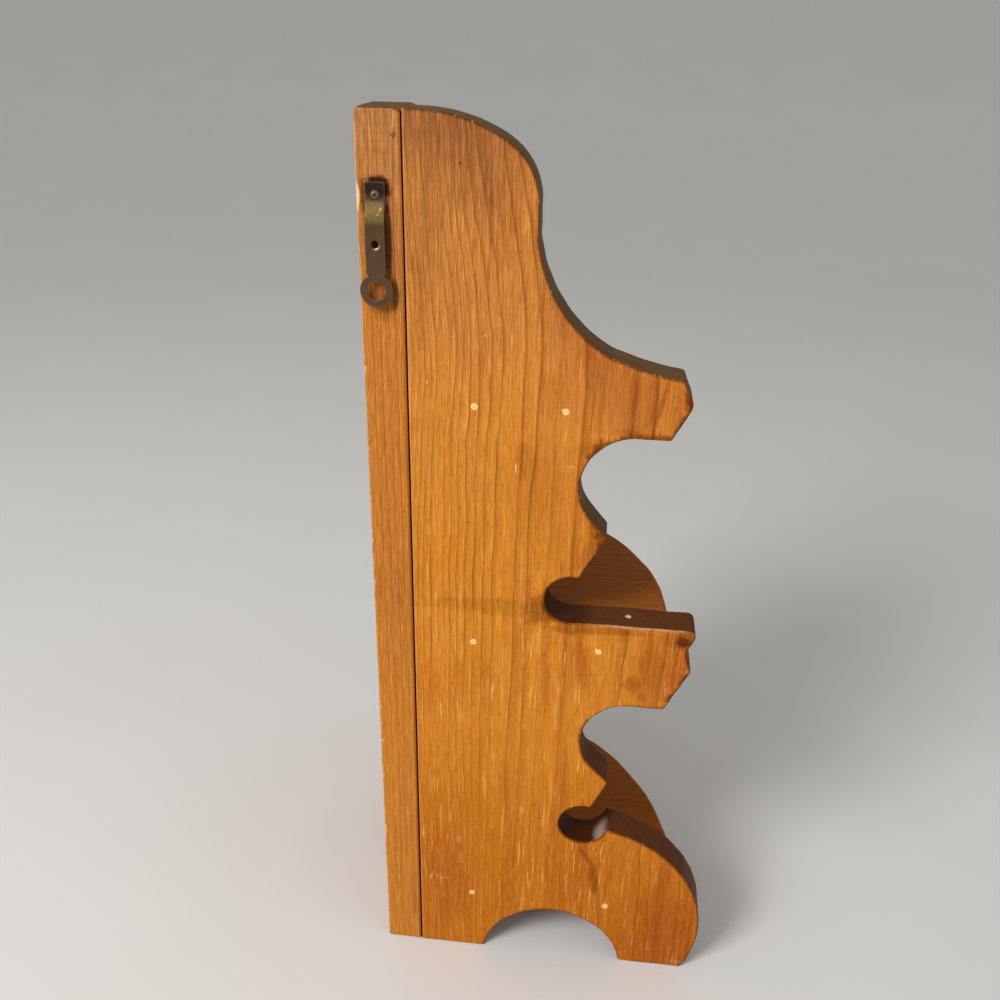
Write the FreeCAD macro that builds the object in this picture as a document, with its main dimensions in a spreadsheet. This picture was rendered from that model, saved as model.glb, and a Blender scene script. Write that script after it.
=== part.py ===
import FreeCAD, Part

import math
import os
from types import SimpleNamespace

import Sketcher

# Corner wall shelf: two scroll-sawn side boards butted at a right angle, three quarter-round
# shelves nailed between them, and a strap hanger on the rear edge of the left board.
# The model is drawn from the outer corner: +X along the right board, +Y along the left board,
# +Z up. Every piece is then shifted so that the origin is under the middle of the whole part.

# Driving dimensions in millimetres, with what each one measures
SIZES = {
    # boards
    "board_thickness": (19.0, "thickness of every board"),
    "panel_height": (457.0, "height of the side boards"),
    "outer_edge_round": (0.8, "easing of the edges next to the wall"),
    "inner_edge_round": (2.0, "rounding of the edges that face the room"),
    # crown of the side boards
    "crown_start": (25.0, "corner to where the level top starts to fall"),
    "crown_radius": (68.0, "first, slow curve of the crown"),
    "shoulder_across": (62.0, "corner to the join of the two crown curves"),
    "shoulder_drop": (11.0, "top down to that join"),
    "shoulder_radius": (29.0, "second, tight curve of the crown"),
    "neck_across": (75.0, "corner to the upright neck"),
    "neck_drop": (35.0, "top down to the start of the neck"),
    # heights of the shelves
    "top_shelf_drop": (108.5, "top of the boards down to the top shelf"),
    "middle_shelf_height": (170.0, "bottom shelf up to the middle shelf, between their upper faces"),
    "bottom_shelf_height": (55.0, "upper face of the bottom shelf"),
    "top_shelf_radius": (96.0, "reach of the top shelf from the inside corner"),
    "middle_shelf_radius": (124.5, "reach of the middle shelf from the inside corner"),
    "bottom_shelf_radius": (142.0, "reach of the bottom shelf from the inside corner"),
    "shelf_edge_round": (2.5, "rounding of the shelves' front edges"),
    # first lobe, beside the top shelf
    "sweep_rise": (61.5, "top shelf up to the foot of the neck"),
    "sweep_radius": (63.0, "hollow curve below the neck"),
    "sweep_end_across": (107.0, "corner to the end of that curve"),
    "sweep_end_rise": (12.0, "top shelf up to the end of that curve"),
    "brow_radius": (141.0, "flat hollow curve that runs out to the lobe"),
    "brow_across": (139.6, "corner to the lobe's upper point"),
    "brow_rise": (3.0, "top shelf up to the lobe's upper point"),
    "first_nose_across": (4.2, "upper point out to the tip of the first nose"),
    "first_nose_drop": (8.0, "top shelf down to the first nose"),
    "first_nose_radius": (5.0, "rounding of the first nose"),
    "first_chin_across": (7.8, "tip of the first nose back to the lobe's lower point"),
    "first_chin_drop": (24.5, "top shelf down to the lobe's underside"),
    # coves and keyholes
    "upper_cove_across": (39.0, "first lobe's lower point back to the back of the upper cove"),
    "upper_cove_radius": (25.0, "radius of the upper cove"),
    "upper_tip_across": (14.0, "back of the upper cove out to the point below it"),
    "upper_tip_rise": (-0.5, "bottom of the upper cove up to that point, which lies lower"),
    "drill_radius": (12.7, "one inch drill of the keyholes"),
    "upper_keyhole_across": (96.0, "corner to the upper keyhole's centre"),
    "keyhole_dip": (0.6, "how far the drill bites under the level ledge"),
    "notch_lean": (4.0, "saw cut's end, left of the upper keyhole's centre"),
    "lower_cove_across": (40.3, "second lobe's lower point back to the back of the lower cove"),
    "lower_cove_radius": (24.0, "radius of the lower cove"),
    "lower_tip_across": (16.0, "back of the lower cove out to the point below it"),
    "lower_tip_rise": (-2.0, "bottom of the lower cove up to that point, which lies lower"),
    "lower_keyhole_across": (108.6, "corner to the lower keyhole's centre"),
    "lower_keyhole_rise": (44.6, "bottom shelf up to the lower keyhole's centre"),
    "lower_notch_lean": (1.8, "saw cut's end, left of the lower keyhole's centre"),
    # second lobe, beside the middle shelf
    "ledge_rise": (2.0, "middle shelf up to the level ledge"),
    "lip_across": (156.5, "corner to the end of the lip"),
    "lip_radius": (3.7, "rounding of the lip"),
    "lip_notch_across": (3.5, "end of the lip back to the notch under it"),
    "lip_notch_drop": (11.0, "middle shelf down to that notch"),
    "lip_notch_radius": (5.0, "hollow of that notch"),
    "second_nose_across": (2.8, "that notch out to the tip of the second nose"),
    "second_nose_drop": (21.2, "middle shelf down to the second nose"),
    "second_nose_radius": (2.5, "rounding of the second nose"),
    "second_chin_across": (11.0, "tip of the second nose back to the lobe's lower point"),
    "second_chin_drop": (45.0, "middle shelf down to the second lobe's underside"),
    # foot lobe and arch
    "foot_top_across": (0.4, "lower keyhole's centre out to where the foot's curve starts"),
    "foot_centre_across": (110.0, "corner to the centre of the foot's curve"),
    "foot_centre_height": (31.0, "height of the centre of the foot's curve"),
    "foot_radius": (67.0, "radius of the foot's curve"),
    "arch_across": (95.0, "corner to the middle of the arch"),
    "arch_width": (78.0, "width of the arch at the floor"),
    "arch_height": (33.8, "height of the arch"),
    # nails and their filling
    "nail_length": (38.0, "finishing nail, head to point"),
    "nail_radius": (0.95, "shank of a finishing nail"),
    "nail_head_radius": (1.3, "head of a finishing nail"),
    "nail_head_length": (1.5, "height of the head"),
    "nail_point_length": (2.5, "length of the point"),
    "nail_set": (1.8, "how deep the heads are punched in"),
    "filler_radius": (1.5, "filled hole over a nail"),
    "shelf_nail_drop": (13.5, "shelf's upper face down to its nails"),
    "rear_nail_across": (49.0, "corner to the nail at the back of each shelf"),
    "top_nail_across": (89.3, "corner to the front nail of the top shelf"),
    "middle_nail_across": (110.5, "corner to the front nail of the middle shelf"),
    "bottom_nail_across": (124.0, "corner to the front nail of the bottom shelf"),
    "joint_nail_first": (95.0, "height of the lowest nail of the corner joint"),
    "joint_nail_step": (95.0, "height from one nail of the corner joint to the next"),
    # strap hanger
    "strap_thickness": (1.2, "thickness of the strap"),
    "strap_width": (8.2, "width of the strap"),
    "strap_end": (5.0, "screw up to the end of the strap"),
    "strap_pitch": (19.4, "screw down to the spare hole"),
    "strap_reach": (38.6, "screw down to the ring's centre"),
    "spare_hole_radius": (1.6, "spare screw hole"),
    "ring_outer_radius": (7.0, "outside of the ring"),
    "ring_bore_radius": (4.0, "hole of the ring"),
    "waist_radius": (0.9, "small nicks where the strap meets the ring"),
    "strap_stand_off": (2.4, "wall side of the board out to the strap's tail"),
    "seat_length": (2.5, "flat seat below the screw"),
    "ramp_length": (9.0, "sloping part of the strap"),
    "swivel_play": (0.05, "free play around the screw and under its head"),
    "hanger_across": (7.8, "outer corner to the middle of the strap"),
    "hanger_drop": (33.0, "top of the board down to the screw"),
    "recess_depth": (1.0, "chiselled seat in the board's edge"),
    "recess_width": (11.0, "width of that seat"),
    "recess_above": (6.2, "screw up to the end of that seat"),
    "recess_below": (6.6, "screw down to the end of that seat"),
    "screw_radius": (1.3, "shank of the hanger's screw"),
    "screw_length": (16.0, "screw below its head"),
    "screw_point_length": (4.0, "tapered end of the screw"),
    "screw_head_radius": (2.0, "round head of the screw"),
    "screw_head_height": (1.1, "height of the round head"),
}

JOINT_NAIL_COUNT = 4
PLATE_SPARE = 4  # the strap's two views are padded this much deeper than the strap needs
RIGHT_TURN = -1
LEFT_TURN = 1

doc = FreeCAD.newDocument("corner_shelf")
sheet = doc.addObject("Spreadsheet::Sheet", "sizes")


class Size:
    """A number together with the sheet formula that gives it."""

    def __init__(self, value, formula):
        self.value = value
        self.formula = formula

    def __add__(self, other):
        other = as_size(other)
        return Size(self.value + other.value, f"({self.formula} + {other.formula})")

    def __sub__(self, other):
        other = as_size(other)
        return Size(self.value - other.value, f"({self.formula} - {other.formula})")

    def __mul__(self, other):
        other = as_size(other)
        return Size(self.value * other.value, f"({self.formula} * {other.formula})")

    def __truediv__(self, other):
        other = as_size(other)
        return Size(self.value / other.value, f"({self.formula} / {other.formula})")

    def root(self):
        return Size(math.sqrt(self.value), f"sqrt({self.formula})")


def as_size(item):
    """A plain number counts as a size that no cell drives."""
    if isinstance(item, Size):
        return item
    return Size(float(item), repr(float(item)))


def fill_sheet():
    """Write each driving dimension to the sheet and return them by name."""
    sizes = {}
    for row, (name, (value, meaning)) in enumerate(SIZES.items(), start=1):
        sheet.set(f"A{row}", meaning)
        sheet.set(f"B{row}", str(value))
        sheet.setAlias(f"B{row}", name)
        sizes[name] = Size(value, f"sizes.{name}")
    doc.recompute()
    return SimpleNamespace(**sizes)


dim = fill_sheet()
ZERO = as_size(0)

# Heights and depths that follow from the driving dimensions
top_shelf_height = dim.panel_height - dim.top_shelf_drop
middle_shelf_height = dim.bottom_shelf_height + dim.middle_shelf_height
shelf_height = {
    "top": top_shelf_height,
    "middle": middle_shelf_height,
    "bottom": dim.bottom_shelf_height,
}
shelf_radius = {
    "top": dim.top_shelf_radius,
    "middle": dim.middle_shelf_radius,
    "bottom": dim.bottom_shelf_radius,
}
front_nail_across = {
    "top": dim.top_nail_across,
    "middle": dim.middle_nail_across,
    "bottom": dim.bottom_nail_across,
}
ledge_height = middle_shelf_height + dim.ledge_rise
upper_keyhole_height = ledge_height + dim.drill_radius - dim.keyhole_dip
lower_keyhole_height = dim.bottom_shelf_height + dim.lower_keyhole_rise
screw_height = dim.panel_height - dim.hanger_drop
seat_back = dim.recess_depth - dim.swivel_play
strap_front = ZERO - dim.strap_stand_off - dim.strap_thickness
ramp_rise = seat_back + dim.strap_stand_off
panel_reach = dim.foot_centre_across + dim.foot_radius
shift_x = ZERO - panel_reach / 2
shift_y = ZERO - (panel_reach + strap_front) / 2


def tie(item, prop, size):
    """Set one size of an object by its formula."""
    item.setExpression(prop, size.formula)


def place(item, x, y, z, rotation=FreeCAD.Rotation()):
    """Put an object at a point given from the outer corner, with its place tied to the sheet."""
    point = [as_size(x) + shift_x, as_size(y) + shift_y, as_size(z)]
    item.Placement = FreeCAD.Placement(FreeCAD.Vector(*[c.value for c in point]), rotation)
    for axis, coordinate in zip("xyz", point):
        tie(item, f".Placement.Base.{axis}", coordinate)


def new_body(name):
    """An empty body with a plain name."""
    body = doc.addObject("PartDesign::Body", name)
    body.Label = name
    return body


def new_sketch(body, name, role):
    """A sketch on one of the body's own origin planes."""
    sketch = body.newObject("Sketcher::SketchObject", name)
    plane = next(item for item in body.Origin.OriginFeatures if item.Role == role)
    sketch.AttachmentSupport = [(plane, "")]
    sketch.MapMode = "FlatFace"
    return sketch


def pin_point(sketch, index, position, across, height):
    """Fix a point of the sketch at a distance across and a height from its origin."""
    for kind, axis, size in (("DistanceX", -2, across), ("DistanceY", -1, height)):
        if size.value == 0:
            sketch.addConstraint(Sketcher.Constraint("PointOnObject", index, position, axis))
            continue
        row = sketch.addConstraint(Sketcher.Constraint(kind, -1, 1, index, position, size.value))
        tie(sketch, f"Constraints[{row}]", size)


def pin_radius(sketch, index, radius):
    """Fix the radius of a circle or an arc."""
    row = sketch.addConstraint(Sketcher.Constraint("Radius", index, radius.value))
    tie(sketch, f"Constraints[{row}]", radius)


def add_circle(sketch, across, height, radius):
    """A full circle with its centre and radius tied to the sheet."""
    centre = FreeCAD.Vector(across.value, height.value, 0)
    up = FreeCAD.Vector(0, 0, 1)
    index = sketch.addGeometry(Part.Circle(centre, up, radius.value))
    pin_point(sketch, index, 3, across, height)
    pin_radius(sketch, index, radius)


class Outline:
    """A closed outline, followed clockwise: corners, bends that its lines run into, and arcs."""

    def __init__(self, sketch):
        self.sketch = sketch
        self.stops = []

    def corner(self, across, height, arc_radius=None, turn=0):
        """A sharp corner, reached by a line or by an arc of the given radius and turn."""
        stop = SimpleNamespace(across=as_size(across), height=as_size(height), radius=ZERO,
                               turn=0, arc_radius=arc_radius, arc_turn=turn)
        self.stops.append(stop)

    def bend(self, across, height, radius, turn):
        """A rounded corner, given by its circle, that both neighbouring lines touch."""
        stop = SimpleNamespace(across=as_size(across), height=as_size(height), radius=radius,
                               turn=turn, arc_radius=None, arc_turn=0)
        self.stops.append(stop)

    def draw(self):
        """Draw the lines and arcs and tie every stop to the sheet."""
        count = len(self.stops)
        joins = [self.join(self.stops[i], self.stops[(i + 1) % count]) for i in range(count)]
        ends = []
        for i, stop in enumerate(self.stops):
            if stop.turn:
                arrive = joins[i - 1].end
                leave = joins[i].start
                centre = FreeCAD.Vector(stop.across.value, stop.height.value, 0)
                arc = self.add_arc(centre, stop.radius, arrive, leave, stop.turn)
                pin_point(self.sketch, arc.index, 3, stop.across, stop.height)
                ends.append(arc)
            join = self.add_join(joins[i], self.stops[(i + 1) % count])
            ends.append(join)
        self.link(ends)
        for i, stop in enumerate(self.stops):
            if not stop.turn:
                pin_point(self.sketch, ends[self.order(i)].index, ends[self.order(i)].first,
                          stop.across, stop.height)

    def order(self, i):
        """Place in the drawn chain of the line or arc that leaves stop i."""
        return i + sum(1 for stop in self.stops[:i + 1] if stop.turn)

    @staticmethod
    def join(first, second):
        """Straight run from one stop to the next, touching the circle of each bend."""
        run = FreeCAD.Vector(second.across.value - first.across.value,
                             second.height.value - first.height.value, 0)
        offset = second.turn * second.radius.value - first.turn * first.radius.value
        heading = math.atan2(run.y, run.x) - math.asin(offset / run.Length)
        left = FreeCAD.Vector(-math.sin(heading), math.cos(heading), 0)
        start = FreeCAD.Vector(first.across.value, first.height.value, 0)
        end = FreeCAD.Vector(second.across.value, second.height.value, 0)
        return SimpleNamespace(start=start - left * (first.turn * first.radius.value),
                               end=end - left * (second.turn * second.radius.value))

    def add_join(self, join, target):
        """Draw the line, or the arc, that leads to the next stop."""
        if target.arc_radius is None:
            index = self.sketch.addGeometry(Part.LineSegment(join.start, join.end))
            return SimpleNamespace(index=index, first=1, last=2, smooth=False)
        chord = join.end - join.start
        rise = math.sqrt(target.arc_radius.value ** 2 - (chord.Length / 2) ** 2)
        left = FreeCAD.Vector(-chord.y, chord.x, 0) / chord.Length
        centre = (join.start + join.end) / 2 + left * (rise * target.arc_turn)
        arc = self.add_arc(centre, target.arc_radius, join.start, join.end, target.arc_turn)
        arc.smooth = False
        return arc

    def add_arc(self, centre, radius, arrive, leave, turn):
        """Draw an arc that is followed to the left or to the right."""
        first, last = (arrive, leave) if turn == LEFT_TURN else (leave, arrive)
        circle = Part.Circle(centre, FreeCAD.Vector(0, 0, 1), radius.value)
        start = math.atan2(first.y - centre.y, first.x - centre.x)
        stop = math.atan2(last.y - centre.y, last.x - centre.x)
        index = self.sketch.addGeometry(Part.ArcOfCircle(circle, start, stop))
        pin_radius(self.sketch, index, radius)
        sides = (1, 2) if turn == LEFT_TURN else (2, 1)
        return SimpleNamespace(index=index, first=sides[0], last=sides[1], smooth=True)

    def link(self, ends):
        """Close the chain: smooth where a line runs into a bend, plain at a sharp corner."""
        for i, before in enumerate(ends):
            after = ends[(i + 1) % len(ends)]
            kind = "Tangent" if before.smooth or after.smooth else "Coincident"
            self.sketch.addConstraint(
                Sketcher.Constraint(kind, before.index, before.last, after.index, after.first))


def pad(body, sketch, length, reverse=False, both_sides=False):
    """Thicken a sketch into a solid."""
    feature = body.newObject("PartDesign::Pad", sketch.Name + "_pad")
    feature.Profile = sketch
    feature.Reversed = reverse
    if both_sides:
        feature.SideType = "Symmetric"
    tie(feature, "Length", length)
    sketch.Visibility = False
    return feature


def pocket(body, sketch, depth=None, reverse=False):
    """Cut a sketch out of the solid, right through or to a depth."""
    before = body.Tip.Shape.Volume
    feature = body.newObject("PartDesign::Pocket", sketch.Name + "_cut")
    feature.Profile = sketch
    feature.Reversed = reverse
    if depth is None:
        feature.Type = "ThroughAll"
        feature.SideType = "Symmetric"
    else:
        tie(feature, "Length", depth)
    doc.recompute()
    if not feature.Shape.Volume < before:
        raise RuntimeError(feature.Name + " removes nothing")
    return feature


def round_edges(body, name, radius, wanted):
    """Round the edges of the body that the test picks."""
    doc.recompute()
    base = body.Tip
    edges = [f"Edge{i}" for i, edge in enumerate(base.Shape.Edges, start=1) if wanted(edge)]
    feature = body.newObject("PartDesign::Fillet", name)
    feature.Base = (base, edges)
    tie(feature, "Radius", radius)
    doc.recompute()
    return feature


def lies_at(edge, axis, value):
    """True for an edge that lies wholly in one plane across an axis."""
    box = edge.BoundBox
    low = getattr(box, axis + "Min")
    high = getattr(box, axis + "Max")
    slack = 1e-4
    return abs(low - value) < slack and abs(high - value) < slack


def draw_side_outline(sketch, rear):
    """Scroll-sawn outline of a side board, from its rear edge."""
    line = Outline(sketch)
    top = dim.panel_height
    arch_half = dim.arch_width / 2
    arch_radius = (arch_half * arch_half + dim.arch_height * dim.arch_height) / (dim.arch_height * 2)
    foot_start = dim.lower_keyhole_across + dim.foot_top_across
    foot_lean = foot_start - dim.foot_centre_across
    foot_top = dim.foot_centre_height + (dim.foot_radius * dim.foot_radius - foot_lean * foot_lean).root()
    toe_lean = dim.foot_radius * dim.foot_radius - dim.foot_centre_height * dim.foot_centre_height
    toe_across = dim.foot_centre_across + toe_lean.root()

    # rear edge, level top and crown
    line.corner(rear, 0)
    line.corner(rear, top)
    line.corner(dim.crown_start, top)
    line.corner(dim.shoulder_across, top - dim.shoulder_drop, dim.crown_radius, RIGHT_TURN)
    line.corner(dim.neck_across, top - dim.neck_drop, dim.shoulder_radius, RIGHT_TURN)

    # neck, sweep and first lobe
    line.corner(dim.neck_across, top_shelf_height + dim.sweep_rise)
    line.corner(dim.sweep_end_across, top_shelf_height + dim.sweep_end_rise, dim.sweep_radius, LEFT_TURN)
    line.corner(dim.brow_across, top_shelf_height + dim.brow_rise, dim.brow_radius, LEFT_TURN)
    first_nose = dim.brow_across + dim.first_nose_across
    line.bend(first_nose - dim.first_nose_radius, top_shelf_height - dim.first_nose_drop,
              dim.first_nose_radius, RIGHT_TURN)
    first_chin = first_nose - dim.first_chin_across
    line.corner(first_chin, top_shelf_height - dim.first_chin_drop)

    # upper cove, saw cut to the keyhole and level ledge
    cove_back = first_chin - dim.upper_cove_across
    cove_middle = top_shelf_height - dim.first_chin_drop - dim.upper_cove_radius
    line.bend(cove_back + dim.upper_cove_radius, cove_middle, dim.upper_cove_radius, LEFT_TURN)
    line.corner(cove_back + dim.upper_tip_across, cove_middle - dim.upper_cove_radius + dim.upper_tip_rise)
    line.corner(dim.upper_keyhole_across - dim.notch_lean, upper_keyhole_height)
    line.corner(dim.upper_keyhole_across, ledge_height)

    # lip, notch and second nose
    line.bend(dim.lip_across - dim.lip_radius, ledge_height - dim.lip_radius, dim.lip_radius, RIGHT_TURN)
    lip_notch = dim.lip_across - dim.lip_notch_across
    line.bend(lip_notch + dim.lip_notch_radius, middle_shelf_height - dim.lip_notch_drop,
              dim.lip_notch_radius, LEFT_TURN)
    second_nose = lip_notch + dim.second_nose_across
    line.bend(second_nose - dim.second_nose_radius, middle_shelf_height - dim.second_nose_drop,
              dim.second_nose_radius, RIGHT_TURN)
    second_chin = second_nose - dim.second_chin_across
    line.corner(second_chin, middle_shelf_height - dim.second_chin_drop)

    # lower cove, saw cut to the keyhole, foot and arch
    cove_back = second_chin - dim.lower_cove_across
    cove_middle = middle_shelf_height - dim.second_chin_drop - dim.lower_cove_radius
    line.bend(cove_back + dim.lower_cove_radius, cove_middle, dim.lower_cove_radius, LEFT_TURN)
    line.corner(cove_back + dim.lower_tip_across, cove_middle - dim.lower_cove_radius + dim.lower_tip_rise)
    line.corner(dim.lower_keyhole_across - dim.lower_notch_lean, lower_keyhole_height)
    line.corner(foot_start, foot_top)
    line.corner(toe_across, 0, dim.foot_radius, RIGHT_TURN)
    line.corner(dim.arch_across + arch_half, 0)
    line.corner(dim.arch_across - arch_half, 0, arch_radius, LEFT_TURN)
    line.draw()


def side_board(name, role, rear, reverse, axis, along):
    """A side board: sawn outline, drilled keyholes and eased edges, left square in the corner joint."""
    body = new_body(name)
    outline = new_sketch(body, name + "_outline", role)
    draw_side_outline(outline, rear)
    pad(body, outline, dim.board_thickness, reverse=reverse)
    doc.recompute()

    keyholes = new_sketch(body, name + "_keyholes", role)
    add_circle(keyholes, dim.upper_keyhole_across, upper_keyhole_height, dim.drill_radius)
    add_circle(keyholes, dim.lower_keyhole_across, lower_keyhole_height, dim.drill_radius)
    pocket(body, keyholes)

    inner_face = dim.board_thickness.value
    round_edges(body, name + "_wall_edges", dim.outer_edge_round, lambda edge: lies_at(edge, axis, 0))
    round_edges(body, name + "_room_edges", dim.inner_edge_round,
                lambda edge: lies_at(edge, axis, inner_face) and not lies_at(edge, along, rear.value))
    place(body, 0, 0, 0)
    return body


def cut_hanger_seat(body):
    """Shallow seat, chiselled into the rear edge of the left board for the strap's end."""
    sketch = new_sketch(body, "hanger_seat", "XZ_Plane")
    half = dim.recess_width / 2
    line = Outline(sketch)
    line.corner(dim.hanger_across - half, screw_height - dim.recess_below)
    line.corner(dim.hanger_across - half, screw_height + dim.recess_above)
    line.corner(dim.hanger_across + half, screw_height + dim.recess_above)
    line.corner(dim.hanger_across + half, screw_height - dim.recess_below)
    line.draw()
    pocket(body, sketch, dim.recess_depth)


def shelf_board(level):
    """A quarter-round shelf that fills the inside corner, with a rounded front edge."""
    name = f"{level}_shelf"
    body = new_body(name + "_board")
    sketch = new_sketch(body, name + "_outline", "XY_Plane")
    inside = dim.board_thickness
    reach = inside + shelf_radius[level]
    line = Outline(sketch)
    line.corner(inside, inside)
    line.corner(inside, reach)
    line.corner(reach, inside, shelf_radius[level], RIGHT_TURN)
    line.draw()
    pad(body, sketch, dim.board_thickness)
    round_edges(body, name + "_front_edge", dim.shelf_edge_round,
                lambda edge: isinstance(edge.Curve, Part.Circle))
    place(body, 0, 0, shelf_height[level] - dim.board_thickness)
    return body


TURN_TO_AXIS = {
    "X": FreeCAD.Rotation(FreeCAD.Vector(0, 1, 0), 90),
    "Y": FreeCAD.Rotation(FreeCAD.Vector(1, 0, 0), -90),
}


def driven_place(item, axis, depth, across, height):
    """Put a round piece on the wall side of a board, driven along an axis to a depth."""
    if axis == "X":
        place(item, depth, across, height, TURN_TO_AXIS[axis])
    else:
        place(item, across, depth, height, TURN_TO_AXIS[axis])


def nail(name, axis, across, height):
    """A finishing nail: small head, plain shank and tapered point, punched below the face."""
    head = doc.addObject("Part::Cylinder", name + "_head")
    tie(head, "Radius", dim.nail_head_radius)
    tie(head, "Height", dim.nail_head_length)
    driven_place(head, axis, dim.nail_set, across, height)

    shank = doc.addObject("Part::Cylinder", name + "_shank")
    shank_length = dim.nail_length - dim.nail_head_length - dim.nail_point_length
    tie(shank, "Radius", dim.nail_radius)
    tie(shank, "Height", shank_length)
    driven_place(shank, axis, dim.nail_set + dim.nail_head_length, across, height)

    point = doc.addObject("Part::Cone", name + "_point")
    tie(point, "Radius1", dim.nail_radius)
    point.Radius2 = 0
    tie(point, "Height", dim.nail_point_length)
    driven_place(point, axis, dim.nail_set + dim.nail_head_length + shank_length, across, height)

    whole = doc.addObject("Part::MultiFuse", name)
    whole.Shapes = [head, shank, point]
    return whole


def filler_plug(name, axis, across, height):
    """Filler over a punched nail, flush with the face of the board."""
    plug = doc.addObject("Part::Cylinder", name)
    tie(plug, "Radius", dim.filler_radius)
    tie(plug, "Height", dim.nail_set)
    driven_place(plug, axis, 0, across, height)
    return plug


def group(name, items):
    """Several like pieces that share one node."""
    compound = doc.addObject("Part::Compound", name)
    compound.Links = items
    compound.Label = name
    return compound


def shelf_fasteners(side, axis):
    """Two nails into each shelf from one side board, with the filler over them."""
    nails = {}
    plugs = []
    for level in shelf_height:
        height = shelf_height[level] - dim.shelf_nail_drop
        places = {"rear": dim.rear_nail_across, "front": front_nail_across[level]}
        driven = []
        for spot, across in places.items():
            label = f"{side}_{level}_{spot}"
            driven.append(nail(label + "_nail", axis, across, height))
            plugs.append(filler_plug(label + "_plug", axis, across, height))
        nails[level] = group(f"{side}_{level}_shelf_nails", driven)
    return nails, plugs


def joint_fasteners():
    """Nails through the left board into the rear edge of the right board."""
    middle = dim.board_thickness / 2
    driven = []
    plugs = []
    for number in range(JOINT_NAIL_COUNT):
        height = dim.joint_nail_first + dim.joint_nail_step * number
        driven.append(nail(f"joint_{number}_nail", "X", middle, height))
        plugs.append(filler_plug(f"joint_{number}_plug", "X", middle, height))
    return group("corner_joint_nails", driven), plugs


def hanger_screw():
    """Round-headed screw that holds the strap and lets it swing."""
    body = new_body("hanger_screw")
    sketch = new_sketch(body, "hanger_screw_profile", "YZ_Plane")
    head = dim.screw_head_height
    dome_square = dim.screw_head_radius * dim.screw_head_radius + head * head
    dome_radius = dome_square / (head * 2)
    line = Outline(sketch)
    line.corner(0, 0)
    line.corner(head, dim.screw_head_radius, dome_radius, RIGHT_TURN)
    line.corner(head, dim.screw_radius)
    line.corner(head + dim.screw_length - dim.screw_point_length, dim.screw_radius)
    line.corner(head + dim.screw_length, 0)
    line.draw()
    turned = body.newObject("PartDesign::Revolution", "hanger_screw_turned")
    turned.Profile = sketch
    turned.ReferenceAxis = (sketch, ["H_Axis"])
    turned.Angle = 360
    head_under = seat_back - dim.strap_thickness - dim.swivel_play
    place(body, dim.hanger_across, head_under - head, screw_height)
    return body


def strap_front_view():
    """Flat shape of the strap: straight arm, ring and holes, cut from plate."""
    body = new_body("hanger_strap_plan")
    middle = dim.ring_outer_radius
    half = dim.strap_width / 2
    screw_up = dim.ring_outer_radius + dim.strap_reach
    depth = (ramp_rise + dim.strap_thickness) * PLATE_SPARE

    arm = new_sketch(body, "hanger_strap_arm", "XZ_Plane")
    line = Outline(arm)
    line.corner(middle - half, dim.ring_outer_radius)
    line.corner(middle - half, screw_up + dim.strap_end)
    line.corner(middle + half, screw_up + dim.strap_end)
    line.corner(middle + half, dim.ring_outer_radius)
    line.draw()
    pad(body, arm, depth, both_sides=True)
    ring = new_sketch(body, "hanger_strap_ring", "XZ_Plane")
    add_circle(ring, middle, dim.ring_outer_radius, dim.ring_outer_radius)
    pad(body, ring, depth, both_sides=True)
    doc.recompute()

    holes = new_sketch(body, "hanger_strap_holes", "XZ_Plane")
    nick_up = dim.ring_outer_radius * 2 - dim.waist_radius
    add_circle(holes, middle, dim.ring_outer_radius, dim.ring_bore_radius)
    add_circle(holes, middle, screw_up, dim.screw_radius + dim.swivel_play)
    add_circle(holes, middle, screw_up - dim.strap_pitch, dim.spare_hole_radius)
    add_circle(holes, middle - half, nick_up, dim.waist_radius)
    add_circle(holes, middle + half, nick_up, dim.waist_radius)
    pocket(body, holes)
    place(body, dim.hanger_across - middle, strap_front, screw_height - screw_up)
    return body


def strap_side_view():
    """Edge view of the strap: tail clear of the wall, ramp, and seat under the screw."""
    body = new_body("hanger_strap_edge")
    sketch = new_sketch(body, "hanger_strap_bend", "YZ_Plane")
    screw_up = dim.ring_outer_radius + dim.strap_reach
    seat_low = screw_up - dim.seat_length
    ramp_low = seat_low - dim.ramp_length
    seat_high = screw_up + dim.strap_end
    gauge = dim.strap_thickness
    line = Outline(sketch)
    line.corner(0, 0)
    line.corner(0, ramp_low)
    line.corner(ramp_rise, seat_low)
    line.corner(ramp_rise, seat_high)
    line.corner(ramp_rise + gauge, seat_high)
    line.corner(ramp_rise + gauge, seat_low)
    line.corner(gauge, ramp_low)
    line.corner(gauge, 0)
    line.draw()
    pad(body, sketch, dim.ring_outer_radius * PLATE_SPARE, both_sides=True)
    place(body, dim.hanger_across, strap_front, screw_height - screw_up)
    return body


def hanger_strap():
    """Strap hanger: its flat shape, bent to its edge view."""
    strap = doc.addObject("Part::Common", "hanger_strap")
    strap.Base = strap_front_view()
    strap.Tool = strap_side_view()
    strap.Label = "hanger_strap"
    return strap


def pierced(name, board, fasteners):
    """A board with the holes that its nails and screws make."""
    tool = group(name + "_fasteners", fasteners)
    result = doc.addObject("Part::Cut", name)
    result.Base = board
    result.Tool = tool
    result.Label = name
    return result


def check_document():
    """Stop if any object failed to build."""
    for item in doc.Objects:
        if "Invalid" in item.State or "Error" in item.State:
            raise RuntimeError(f"{item.Name} did not build: {item.State}")


def write_nodes(nodes):
    """Write one file for each sub-part, after all of them are sound."""
    for node in nodes:
        if node.Shape.isNull() or not node.Shape.isValid():
            raise RuntimeError(node.Label + " has no sound shape")
    os.makedirs("parts", exist_ok=True)
    for node in nodes:
        node.Shape.exportStep(f"parts/{node.Label}.step")
        print(node.Label, len(node.Shape.Solids), round(node.Shape.Volume, 1))


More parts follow.
